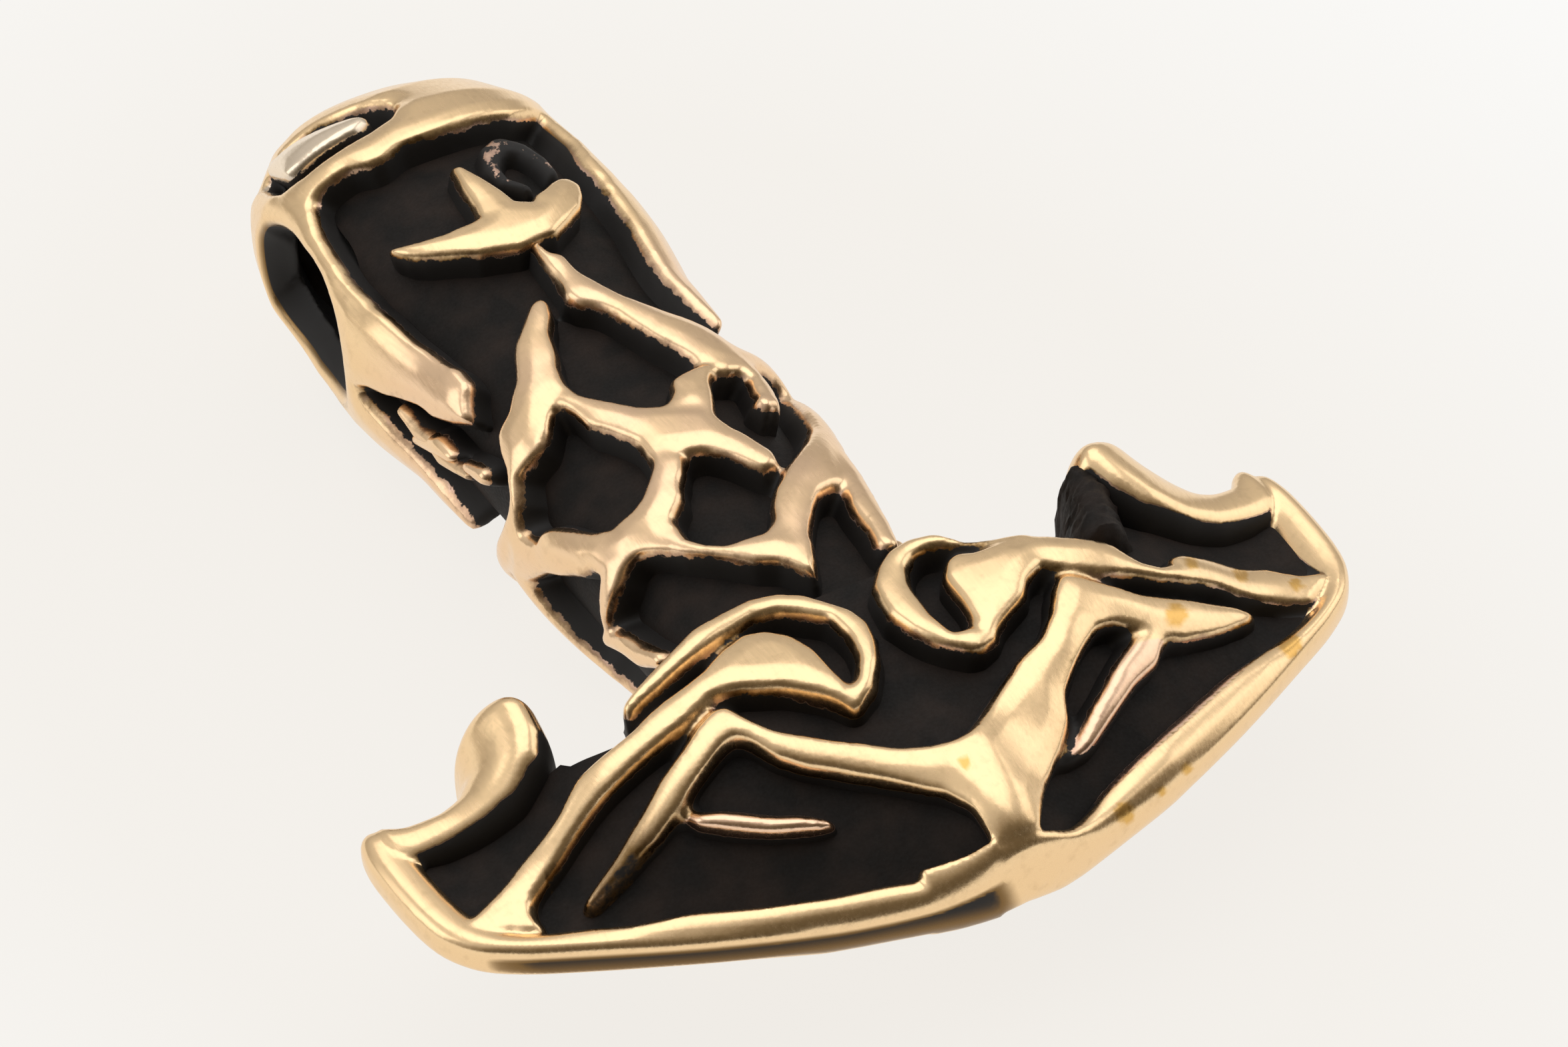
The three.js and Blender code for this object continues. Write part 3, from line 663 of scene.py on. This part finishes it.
def set_head_wear(piece):
    """Where the head is bright, brown, black or coppery, besides what its height tells, and where it gets
    painted shade.
    """
    points, normals = corners_of(piece), normals_of(piece)
    x, y, z = points.T
    down = -normals[:, 1]
    ridge = np.where(z > LIFT, head_ridge(x, y, 1), head_ridge(x, y, -1))
    depth = head_depth(ridge)
    height = (abs(z - LIFT) - (ridge - depth)) / depth
    above_rim = y - np.interp(abs(x), *np.array(rim_inner[1:15]).T)

    # The rims' outer walls, the end bars and the lugs are bright down to their feet.
    outside = ramp(.02 - above_rim, .15) * (abs(x) < 15)
    edge = lower_edge(np.minimum(abs(x), HALF_SPAN) / HALF_SPAN)[0] * RISE
    outside = np.maximum(outside, ramp(edge + .65 - y, .3))
    ends = np.maximum(ramp(abs(x) - 16.1, .2), ramp(y - 12, .5) * (abs(x) > 10))

    # Lugs and rails are black where they face the tip. Left of the stem the brown climbs higher, as
    # painted shade.
    shade = ramp(down - .2, .3) * ramp(.75 - abs(normals[:, 2]), .25)
    shade *= (abs(x) > 10.2) * (abs(x) < 16.6) * (y > 10.3)
    height = np.maximum(height, np.maximum(outside, ends)) * (1 - shade)
    left_shade = ramp(-x, 2.5) * np.interp(y, [7.5, 9.5], [.75, .2]) * (1 - shade)
    lift = patina(height, normals, left_shade)

    # Painted shade: the wall under the left rim is darkened to brown, and the tip of the left fork is
    # browned, darkest on faces turned towards the tip.
    dim = outside * ramp(down - .72, .16) * ramp(-x - .2 + .3 * (LIFT - z), 1.1) * (x > -17)
    bright = (1 - dim * ramp(ridge - z + LIFT - .3, .25)) ** 2
    lift = lift * bright + (1 - bright) * (.345 + .05 * ramp(LIFT + .2 - z, .7))
    fork_tip_shade = ramp(-x - 8, 3) * (x > -13.4) * ramp(8.3 - y, .5) * (above_rim > .3)
    lift = lift * (1 - fork_tip_shade) + fork_tip_shade * (.36 + .26 * ramp(height) * ramp(.6 - down))

    # Round the veins the metal is coppery, with a bright facet along the right rim.
    rosy = (x < -4.8) * (x > -9.2) * (y < np.interp(x, [-9, -6.5, -4.8], [6.8, 6, 4.9]))
    rosy = rosy + (x > 3.4) * (y < np.interp(x, [3.4, 4.3, 5, 5.8, 6.5, 8.5, 9],
                                             [3.5, 4.6, 5.2, 5.8, 6, 5.95, 5]))
    rosy = rosy * (above_rim > .02) * (x < 14)
    facet = rosy * (x > 3.4) * (above_rim < .65)
    set_values(piece, "lift", np.maximum(lift, facet * (.3 + .4 * ramp(height - .15, .4))))
    set_values(piece, "calm", np.maximum(outside * ramp(down - .45, .3), left_shade))
    set_values(piece, "blush", .6 * rosy + .3 * facet)
    set_values(piece, "blot", blots_at(points))


def each(names, *ends):
    return [f"{name}_{end}" for name in names for end in ends]


parts = []
for side, (rail_low, rail_high), proud, drop in ((-1, rail_left, .7, .28), (1, rail_right, 1, .7)):
    inner = np.array(rim_inner)
    sway = .6 if side > 0 else .12 * np.sin(2 * inner[:, 0])
    inner[:, 1] += np.interp(inner[:, 0], [2, 4.5, 11, 13.5], [0, 1, 1, 0]) * sway
    pair = [bar("rim", inner, rim_outer, (.05, .05, .05), (.01, .04), 2.8, 3.2, drop, .3, 200),
            bar("rail", rail_high, rail_low, (.1, .3, proud), (.08, .17), 2.4, 2.5)]
    if side < 0:
        pair.append(bar("rim_step", [(.8, 1.3), (1.6, 1.5), (2.4, 1.8), (3.3, 2.1)],
                        [(.8, .36), (1.6, .48), (2.4, .66), (3.3, .88)], (.1, .13, .13), (.06, .06),
                        count=40))
        for piece in pair:
            move_corners(piece, corners_of(piece) * [-1, 1, 1])
            edit(piece, bpy.ops.mesh.flip_normals)
    parts += pair
# The strands of both faces and the borders are fused into one skin.
for face in (1, -1):
    sheet = relief("sheet", head_place(face), (-17.6, 17.6, 0, 13.6), (420, 164), head_field(face),
                   lambda x, y: head_depth(head_ridge(x, y, face)), .11)
    edit(sheet, turn_outward)
    parts.append(sheet)
head_relief = parts[0]
single_out(head_relief)
for piece in parts:
    piece.select_set(True)
bpy.ops.object.join()
head_relief.name = head_relief.data.name = "head_relief"
fuse(head_relief, .11)
set_head_wear(head_relief)
settle(head_relief, polished, "polished_bronze", "keel_front", "keel_back",
       *each(("rim", "arm_rail", "lug"), "left", "right"),
       *each(each(("fork", "leaf", "scroll", "vein"), "front", "back"), "left", "right"))

# Lug foot.
# Under the right lug the black casting skin swells out into a foot that leans on the arm.
# It was left rough, as the tumbling media didn't reach it.
foot = bar("lug_foot", [(11.6, 14.6), (11.2, 12.8), (10.6, 11), (10.4, 10)],
           [(9.7, 14.6), (9, 12.9), (8.1, 11.2), (7.8, 10)], (-.1, .1, .1), (.1, .1), 2.4, 2.4,
           count=40)
edit(foot, turn_outward)
points = corners_of(foot)
rough = (.1 * wander(points[:, 0] + points[:, 2], points[:, 1], 1.1, 7)
         + .07 * wander(points[:, 0], points[:, 1] - points[:, 2], .5, 8))
move_corners(foot, points + normals_of(foot) * rough[:, None])
settle(foot, blackened, "blackened_bronze", "head_ground")

# Handle ground.
# The sunken, blackened skin of the handle, a rounded square in section, 1.2 mm below the
# lattice that covers it. The handle leans a little to the left as it goes up.
FOOT_Y, TOP_Y, CAP_TOP, LEAN, SQUARE = 13.2, 32.0, 48.6, .5, 2.4
WIDE, THICK, CAP_WIDER, CAP_THICKER = 11.8, 9, 1.6, 1.2
swell = smooth_table([[-1, .1], [0, .1], [.17, .7], [.35, 1], [1, 1]], .06)
closing = smooth_table([[0, 1, 1], [.5, 1, 1], [.7, .95, .94], [.82, .83, .81], [.91, .64, .62],
                        [.965, .42, .41], [.99, .22, .22], [1, .02, .02]], .015)


def handle_radii(y):
    """Half the width and half the thickness of handle and cap."""
    up = (y - TOP_Y) / (CAP_TOP - TOP_Y)
    grown = swell(up)[0]
    wide, thick = closing(ramp(up))
    return (WIDE + CAP_WIDER * grown) / 2 * wide, (THICK + CAP_THICKER * grown) / 2 * thick


def lean_at(y):
    up = ramp(y - FOOT_Y, TOP_Y - FOOT_Y)
    return LEAN * up * up * (3 - 2 * up)


def handle_point(angle, y, inset=0.0):
    wide, thick = (np.maximum(radius - inset, .01) for radius in handle_radii(y))
    sideways, out = oval(np.radians(angle), SQUARE)
    return np.stack([wide * sideways - lean_at(y), y, thick * out], -1)


def handle_place(angle, y, height):
    """The handle and cap as a map from (angle, y, height over the ground)."""
    step = .05
    turn = handle_point(angle + 1, y) - handle_point(angle - 1, y)
    rise = handle_point(angle, np.minimum(y + step, CAP_TOP)) - handle_point(angle, y - step)
    out = np.cross(turn, rise)
    size = np.linalg.norm(out, axis=-1)
    out = np.where(size[:, None] > 1e-7, out / np.maximum(size, 1e-9)[:, None], [0, 1, 0])
    top = ramp(y - 47.6, .9)[:, None]
    out = out * (1 - top) + np.array([0, 1, 0]) * top
    out /= np.linalg.norm(out, axis=-1)[:, None]
    return handle_point(angle, y) + out * (height - GROUND_DEPTH)[:, None]


def skin_of(name, low, high, rows):
    """The ground from one height to another, closed at both ends."""
    piece = new_grid(name, 120, rows)
    place = corners_of(piece)
    share = place[:, 1]
    y = low + (high - low) * share
    body = handle_point(place[:, 0] * 360 - 180, y, GROUND_DEPTH)
    axis = handle_point(np.zeros(len(y)), y) * [1, 1, 0]
    ends = (share < 1e-6) | (share > 1 - 1e-6)
    body[ends] = axis[ends]
    move_corners(piece, body)
    close_up(piece)
    return piece


settle(skin_of("handle_skin", 12.4, 32.3, 90), blackened, "blackened_bronze", "handle_ground")

# Handle lattice.
# Crossing strands wound up the handle in the wax, each fused to the next; the back is the
# front turned half round, and two strands run on round the sides to join them.
# Outlines are laid out in degrees round the handle and mm up from the tip.
LATTICE = [
    [(2, 32), (1, 31), (2, 30.5), (6, 30), (9, 29.3), (11, 28.3), (13, 27.5), (17, 26.6), (20, 25.7),
     (24, 25.2), (27, 24.7), (33, 24.8), (36, 24.4), (33, 23.8), (31, 23.2), (27, 22.8), (29, 22.3),
     (34, 22.5), (36, 22.3), (41, 23.5), (44, 24.5), (45, 26.3), (42, 27), (38, 27.6), (33, 28.1),
     (27, 28.6), (21, 29.3), (16, 30), (12, 31), (9, 32), (8, 33), (5, 33.3), (4, 34.1),
     (2.5, 34.1), (2, 33)],
    [(-4, 31.4), (-8, 31.2), (-15, 30.4), (-21, 29.8), (-26, 29), (-31, 28.2), (-36, 27.8),
     (-42, 27.3), (-52, 27), (-58, 26.3), (-61, 25.7), (-69, 25), (-79, 24.7), (-80, 24.2),
     (-70, 24.3), (-60, 25), (-42, 25), (-35, 25.4), (-29, 26), (-25, 26.4), (-18, 26.5),
     (-15, 27.8), (-12, 28.5), (-9, 29.5), (-5, 30.3), (-3, 31)],
    [(-25, 26.4), (-18, 26.5), (-15, 25.8), (-10, 25), (-5, 24.2), (1, 23.6), (8, 23), (10, 21.6),
     (12, 21), (15, 19.8), (13, 19.2), (8, 19.1), (6, 19.5), (3, 20.3), (0, 21), (-3, 21.2),
     (-11, 21.6), (-13, 22), (-13, 22.7), (-18, 23.8), (-22, 24.5), (-23, 25.5)],
    [(0, 23.4), (1, 23.8), (4, 24.3), (6, 24.9), (12, 25.1), (20, 25.3), (24, 25), (20, 24.7),
     (17, 24.3), (14, 23.6), (11, 23), (8, 22.7)],
    [(-8, 21.8), (-12, 21.8), (-16, 21.2), (-21, 20.7), (-26, 20.3), (-32, 20.05), (-44, 20.05),
     (-47, 20.2), (-52, 19.6), (-50, 18.7), (-42, 18.5), (-38, 18.3), (-33, 17.8), (-25, 18.3),
     (-23, 18.8), (-19, 19.1), (-15, 19.4), (-12, 20), (-9, 20.4), (-6, 21)],
    [(-42, 18.7), (-33, 18.6), (-25, 18.3), (-24, 17.6), (-20, 16.9), (-15, 16.4), (-4, 16.2),
     (-1, 16.4), (2, 15), (-1, 13.6), (-6, 14.7), (-12, 15.2), (-20, 16.2), (-25, 16.7),
     (-30, 17.2), (-33, 17.8), (-38, 18.3)],
    [(-105, 24.8), (-83, 24.7), (-77, 22.9), (-70, 22.8), (-65, 22.4), (-58, 21.6), (-52, 20.8),
     (-47, 20.2), (-47, 18.6), (-60, 18.2), (-80, 18), (-82, 18.3), (-70, 18.9), (-62, 19.2),
     (-64, 19.8), (-70, 20), (-78, 21), (-85, 22), (-91, 22.8), (-99, 23.6), (-105, 23.8)],
    [(0, 16.5), (2, 17.3), (6, 18), (10, 18.4), (20, 19.3), (30, 20), (36, 20.5), (47, 20.9),
     (48, 20), (43, 19.1), (37, 18.4), (33, 18), (28, 17.6), (17, 17.2), (12, 16.7), (7, 16),
     (3, 15.2), (0, 14.3), (-3, 15)],
]
LATTICE_CORDS = [
    [(-86, 18.1, .5), (-80, 17, .8), (-77, 16, .8), (-70, 15, .6)],
    [(44, 20, .9), (38, 18, .9), (31, 16.3, 1.1), (25, 14, .8)],
    [(-92, 31.8, .4), (-84, 30, .8), (-82, 29, .5)],
    [(-79, 28, .4), (-74, 26.8, .7)],
    [(46, 20.4, 1.1), (60, 22.4, 1.1), (76, 24.2, 1.1)],
    [(43, 25.8, 1.2), (62, 25.9, 1.1), (84, 25.2, 1), (100, 24.5, .6)],
]
# The way round the foot of the cap in mm, for each degree.
turn_steps = np.arange(-180, 181.0)
turn_points = handle_point(turn_steps, turn_steps * 0 + 34)
turn_lengths = np.r_[0, np.cumsum(np.linalg.norm(np.diff(turn_points, axis=0), axis=1))]
turn_lengths -= turn_lengths[180]
GIRTH = turn_lengths[-1] - turn_lengths[0]
WHOLE = (-GIRTH / 2, GIRTH / 2)


def unrolled(angle):
    return np.interp(angle, turn_steps, turn_lengths)


def rolled(length):
    return np.interp(length, turn_lengths, turn_steps)


def distance_along(x, y, path):
    """Distance inside a round strand along (x, y, width) places."""
    near = np.full(len(x), -4.0)
    for (ax, ay, aw), (bx, by, bw) in zip(path[:-1], path[1:]):
        ux, uy = bx - ax, by - ay
        share = ramp((x - ax) * ux + (y - ay) * uy, ux * ux + uy * uy)
        away = np.hypot(x - ax - share * ux, y - ay - share * uy)
        near = np.maximum(near, (aw + (bw - aw) * share) / 2 - away)
    return near


def flat(outline):
    """An outline with its degrees round the handle turned into mm."""
    outline = np.array(outline, float)
    outline[:, 0] = unrolled(outline[:, 0])
    return outline


def half_turn(length):
    """The same place on the other half of the handle, for the back."""
    return np.where(length > 0, length - GIRTH / 2, length + GIRTH / 2)


def lattice_outline(length, y):
    """Distance inside the strands of the lattice, front and back."""
    parts = []
    for around in (length, half_turn(length)):
        around = around + wander(around, y, 5, 3) * .05
        level = y + wander(y, around, 4, 4) * .05
        parts += [distance_inside(around, level, flat(outline)) for outline in LATTICE]
        parts += [distance_along(around, level, flat(cord)) for cord in LATTICE_CORDS]
    return melt(parts)


def on_handle(length, y, height):
    return handle_place(rolled(length), y, height)


def deep(a, b):
    return GROUND_DEPTH


def height_over_ground(points):
    """Share of the way from the black ground of handle and cap up to their crests."""
    x, z = points[:, 0] + lean_at(points[:, 1]), points[:, 2]
    wide, thick = handle_radii(points[:, 1])
    level = ((abs(x) / wide) ** SQUARE + (abs(z) / thick) ** SQUARE) ** (1 / SQUARE)
    height = GROUND_DEPTH + (level - 1) * np.hypot(x, z) / np.maximum(level, .05)
    return np.maximum(height / GROUND_DEPTH, ramp(points[:, 1] - 46.4, .6))


def finish_strands(piece, voxel, material, slot, *nodes, **rules):
    """Fuses a relief of the handle or cap, and gives its corners their values and finish."""
    close_up(piece)
    fuse(piece, voxel)
    points = corners_of(piece)
    set_values(piece, "lift", patina(height_over_ground(points), normals_of(piece)))
    for name, rule in rules.items():
        set_values(piece, name, rule(points))
    settle(piece, material, slot, *nodes)


lattice = relief("handle_lattice", on_handle, (*WHOLE, 12.8, 34.3), (360, 236), lattice_outline,
                 deep, .1)
finish_strands(lattice, .1, polished, "polished_bronze",
               *each(("spine", "post", "brace", "bridge", "knee", "loop", "collar", "root",
                      "knuckle", "shoulder"), "front", "back"),
               blush=lambda points: .22 + .2 * wander(points[:, 0], points[:, 1], 6, 9))

# Cap ground.
# The sunken black core of the cap, bored through from side to side by the oval cord hole,
# which flares towards its two mouths.
HOLE_Y, HOLE_TALL, HOLE_DEEP, CLEAR, REACH = 40.15, 3.3, 2.7, .05, 8
MOUTH_TALL, MOUTH_DEEP, MOUTH_SQUARE = 4, 2.85, 2.3
cap = skin_of("cap_skin", 31.7, 47.5, 80)
bore = new_grid("bore", 40, 64)
place = corners_of(bore)
reach = (place[:, 0] * 2 - 1) * REACH
flare = ramp(abs(reach) - 2, 2.6)
tall = HOLE_TALL + CLEAR + (MOUTH_TALL - HOLE_TALL) * flare * flare
wide = HOLE_DEEP + CLEAR + (MOUTH_DEEP - HOLE_DEEP) * flare * flare
ends = abs(reach) > REACH - .01
tall, wide = np.where(ends, 0, tall), np.where(ends, 0, wide)
sine, cosine = oval(place[:, 1] * 2 * np.pi, MOUTH_SQUARE)
move_corners(bore, np.c_[reach - LEAN, HOLE_Y + tall * cosine, wide * sine])
close_up(bore)
modify(cap, "BOOLEAN", operation="DIFFERENCE", solver="EXACT", object=bore)
bpy.data.objects.remove(bore)
settle(cap, blackened, "blackened_bronze", "cap_ground")

# Crown, hole rims and cheeks.
# The polished dome of the cap. It comes down on each side round the mouth of the cord hole
# and ends in a broad cheek, so that a dark window is left open at the front and the back.
# A groove is cut into the dome round a panel that is painted pale, as a painted sheen.
CROWN_EDGE = [
    (-180, 41.6), (-150, 41.6), (-133, 42), (-90, 44), (-52, 43), (-47, 41.6), (-38, 41.8),
    (-25, 41.75), (-18, 41.3), (-14, 41.25), (-6, 41.6), (5, 41.6), (15, 41.7), (30, 41.8), (47, 42.3),
    (90, 44), (128, 43), (133, 41.6), (142, 41.8), (155, 41.75), (180, 41.6)]
CHEEKS = [
    [(-60, 38), (-55, 36.6), (-53, 35), (-52, 33), (-48, 31.2), (-45, 30.6), (-46, 29.7), (-52, 29.3),
     (-59, 28.6), (-66, 29.4), (-73, 30.5), (-75, 31.5), (-80, 32.5), (-84, 33.5), (-87, 34.5),
     (-92, 35.9), (-75, 38)],
    [(-62, 36.5), (-55, 36), (-54, 37), (-53.5, 38), (-52.5, 39), (-50.5, 40), (-46, 41.2),
     (-43, 44), (-66, 44)],
    [(58, 38), (49, 37), (48, 35), (47.5, 34), (48, 33), (48.5, 32), (50, 30.8), (53, 29.6), (58, 28.6),
     (62, 28.8), (66, 30), (70, 31), (75, 32), (80, 33), (84, 34), (88, 35), (92, 36), (75, 38)],
    [(62, 36.5), (49, 37), (48, 37.8), (48.5, 38.8), (50.5, 39.5), (54, 40.3), (55, 44), (66, 44)],
]
GROOVE = [
    (-66, 46, .3), (-58, 44.8, .24), (-50, 43.6, .2), (-38, 43.3, .24), (-25, 43.3, .26),
    (-12, 43.4, .3), (-5, 43.8, .5), (-2, 44.5, .6), (-8, 45.2, .6), (-18, 45.5, .4), (-32, 45.9, .24),
    (-46, 46.2, .16)]


def panel_at(points):
    """Inside the groove, where the crown is painted pale, as a painted sheen."""
    total = np.zeros(len(points))
    for turned in (0, 180):
        edge = np.array([handle_point(angle + turned, y)[:2] for angle, y, _ in GROOVE])
        inside = distance_inside(points[:, 0], points[:, 1], edge)
        near = points[:, 2] > 0 if turned == 0 else points[:, 2] < 0
        total = np.maximum(total, ramp(inside, .15) * near)
    return .65 * total


def mouth_at(points):
    """Distance out from the edge of the cord hole's mouths; front and back are made far from it."""
    level = (abs((points[:, 1] - HOLE_Y) / MOUTH_TALL) ** MOUTH_SQUARE
             + abs(points[:, 2] / MOUTH_DEEP) ** MOUTH_SQUARE) ** (1 / MOUTH_SQUARE)
    return (level - 1) * np.where(abs(points[:, 0] + LEAN) > 2, 3.2, 40)


def cap_outline(length, y):
    """Distance inside the crown, cheeks and hole rims, with the groove left out."""
    groove_foot, rim_half, rim_middle = .26, .24, .3
    angle = rolled(length)
    parts, cuts = [y - np.interp(angle, *np.array(CROWN_EDGE).T)], []
    for around in (length, half_turn(length)):
        around = around + wander(around, y, 5, 5) * .05
        parts += [distance_inside(around, y, flat(outline)) for outline in CHEEKS]
        cuts.append(-distance_along(around, y, flat(GROOVE)) - groove_foot)
    spot = handle_point(angle, y)
    mouth = mouth_at(spot)
    ring = rim_half - abs(mouth - rim_middle)
    total = melt(parts + [np.where(abs(spot[:, 0] + LEAN) > 2, ring, -4)], .4)
    return np.minimum(np.minimum(total, mouth - CLEAR), np.minimum(*cuts))


crown = relief("crown_and_cheeks", on_handle, (*WHOLE, 28, CAP_TOP), (360, 250), cap_outline,
               deep, .1)
# The pale colour the crown gives to Blot is a painted sheen on the grooved panel.
finish_strands(crown, .11, bronze("polished_crown_with_painted_sheen", wear, Blot=(.9, .81, .69, 1)), "polished_bronze",
               "crown", *each(("cord_hole_rim", "cheek_front", "cheek_back"), "left", "right"),
               calm=lambda points: ramp(.55 - mouth_at(points), .3),
               blush=lambda points: .35 * ramp(35 - points[:, 1], 3), blot=panel_at)

# Tridents, eye arc and flames.
# Small raised signs in the windows and on the sides of the cap. The eye arc and the flames are
# less worn than the rest, so that their feet keep a brown bloom, coppery on the eye arc.
TRIDENT = [
    (-33, 36.6), (-30, 36), (-25, 35.5), (-18, 35), (-10, 34.4), (0, 33.95), (10, 34.1), (18, 34.7),
    (25, 35.3), (29, 35.9), (31, 36.5), (28, 36.95), (24, 37), (20, 36.8), (16, 36.5), (12, 36.3),
    (10, 36), (6, 36.3), (5, 37), (3, 38), (1, 39), (-.5, 39.2), (-1.5, 38), (-2, 36.8), (-3, 36.1),
    (-6, 36), (-15, 36.05), (-22, 36.3), (-28, 36.6), (-33, 36.9)]
EYE_ARC = [
    (14, 37.3, .3), (9, 38, .4), (9, 39, .5), (13, 39.9, .8), (18, 40.2, 1), (24, 39.8, .7),
    (28, 38.9, .5), (28, 38, .4)]
FLAME = [
    (-86, 32.6, .34), (-88, 31.5, .6), (-85.5, 30.6, .42), (-87, 29.7, .6), (-84, 28.6, .45),
    (-81, 27.7, .34)]
worn = bronze("worn_strands", wear, Bare=(.88, .62, .37, 1), Toned=(.14, .085, .055, 1), Edge=.36,
              Ragged=1, Polish=.22)
for label, turned in (("front", 0), ("back", 180)):
    sign = relief(f"trident_sign_{label}", lambda a, b, up: handle_place(rolled(a) + turned, b, up),
                  (*unrolled([-40, 38]), 33, 40), (110, 84),
                  lambda a, b: distance_inside(a, b, flat(TRIDENT)), deep)
    finish_strands(sign, .1, polished, "polished_bronze", f"trident_{label}")
eye = relief("eye_arc_sign", on_handle, (*unrolled([2, 34]), 36.3, 41.6), (60, 70),
             lambda a, b: distance_along(a, b, flat(EYE_ARC)), lambda a, b: GROUND_DEPTH * .6)
finish_strands(eye, .1, worn, "worn_bronze", "eye_arc", blush=lambda points: .6 + 0 * points[:, 0])
for hand, side in (("left", 1), ("right", -1)):
    flame = relief(f"flame_sign_{hand}", lambda a, b, up: handle_place(rolled(a) * side, b, up),
                   (*unrolled([-96, -74]), 26.8, 33.4), (40, 80),
                   lambda a, b: distance_along(a, b, flat(FLAME)), deep)
    finish_strands(flame, .1, worn, "worn_bronze", f"flame_{hand}")

# Floor, lamps and camera.
# A pale sheet under the pendant in a white studio. To the camera and in the metal it glows pale, greyer
# and creamier round the pendant as painted shade, whiter outwards.
# The camera looks up the hammer from below its left arm, as in the photograph.
bpy.ops.mesh.primitive_grid_add(x_subdivisions=4, y_subdivisions=4, size=6)
floor = bpy.context.object
floor.name = "floor"
sheet, tree = new_material("pale_sheet")
tree.nodes["Principled BSDF"].inputs["Base Color"].default_value = (.8, .79, .77, 1)
tree.nodes["Principled BSDF"].inputs["Roughness"].default_value = .9
# The glow is a painted shade pool: greyer and creamier round the pendant, whiter outwards.
add_nodes(tree, path=("LightPath", {}), seen=("Math", {"operation": "MAXIMUM"}),
          mostly=("Math", {"operation": "MULTIPLY", 1: .91}),
          place=("TexCoord", {}), spread=("Mapping", {"Scale": (18, 13, 1)}),
          pool=("TexGradient", {"gradient_type": "SPHERICAL"}),
          tint=("ValToRGB", {"ramp": ((.02, (1, 1, .99)), (.6, (.93, .9, .855)))}),
          glow=("Emission", {}), mix=("MixShader", {}))
wire(tree, """
    path.Is Camera Ray > seen.0
    path.Is Glossy Ray > seen.1
    seen.Value > mostly.0
    place.Object > spread.Vector
    spread.Vector > pool.Vector
    pool.Fac > tint.Fac
    tint.Color > glow.Color
    mostly.Value > mix.0
    Principled BSDF.BSDF > mix.1
    glow.Emission > mix.2
    mix.Shader > Material Output.Surface""")
floor.data.materials.append(sheet)

world = bpy.data.worlds.new("studio")
bpy.context.scene.world = world
world.use_nodes = True
add_nodes(world.node_tree, way=("TexCoord", {}), split=("SeparateXYZ", {}), path=("LightPath", {}),
          sky=("MapRange", {"From Min": -.1, "From Max": .9, "To Min": .36, "To Max": .82}),
          fore=("MapRange", {"interpolation_type": "SMOOTHSTEP", "From Min": -.75, "From Max": .1,
                             "To Min": .2, "To Max": 1}),
          total=("Math", {"operation": "MULTIPLY"}), level=("Mix", {"B": 1}),
          hue=("ValToRGB", {"ramp": ((.12, (1, .84, .6)), (.55, (1, .985, .965)))}),
          tint=("Mix", {"data_type": "RGBA", "B": (1, 1, 1, 1)}))
wire(world.node_tree, """
    way.Generated > split.Vector
    split.Z > sky.Value
    split.Y > fore.Value
    sky.Result > total.0
    fore.Result > total.1
    total.Value > level.A, hue.Fac
    hue.Color > tint.A
    path.Is Camera Ray > level.Factor, tint.Factor
    level.Result > Background.Strength
    tint.Result > Background.Color""")

for name, spot, size, power in (("top_softbox", (.05, .12, .45), .5, .6),
                                ("left_softbox", (-.4, .15, .2), .3, .26),
                                ("right_softbox", (.4, -.05, .2), .3, .22)):
    bpy.ops.object.light_add(type="AREA", location=spot)
    lamp = bpy.context.object
    lamp.name = name
    lamp.data.size, lamp.data.energy = size, power
    away = np.array(spot) / np.linalg.norm(spot)
    lamp.rotation_euler = (np.arccos(away[2]), 0, np.arctan2(away[1], away[0]) + np.pi / 2)

# The camera as it was fitted to the photograph.
bpy.ops.object.camera_add()
camera = bpy.context.object
camera.matrix_world = Matrix([[.868421, .340965, -.359982, -.064096],
                              [-.495022, .554881, -.668626, -.127491],
                              [-.028231, .758848, .650656, .125524], [0, 0, 0, 1]])
camera.data.lens, camera.data.sensor_width = 122.6, 36
camera.data.clip_start = .005
bpy.context.scene.camera = camera
bpy.context.scene.view_settings.view_transform = "Standard"
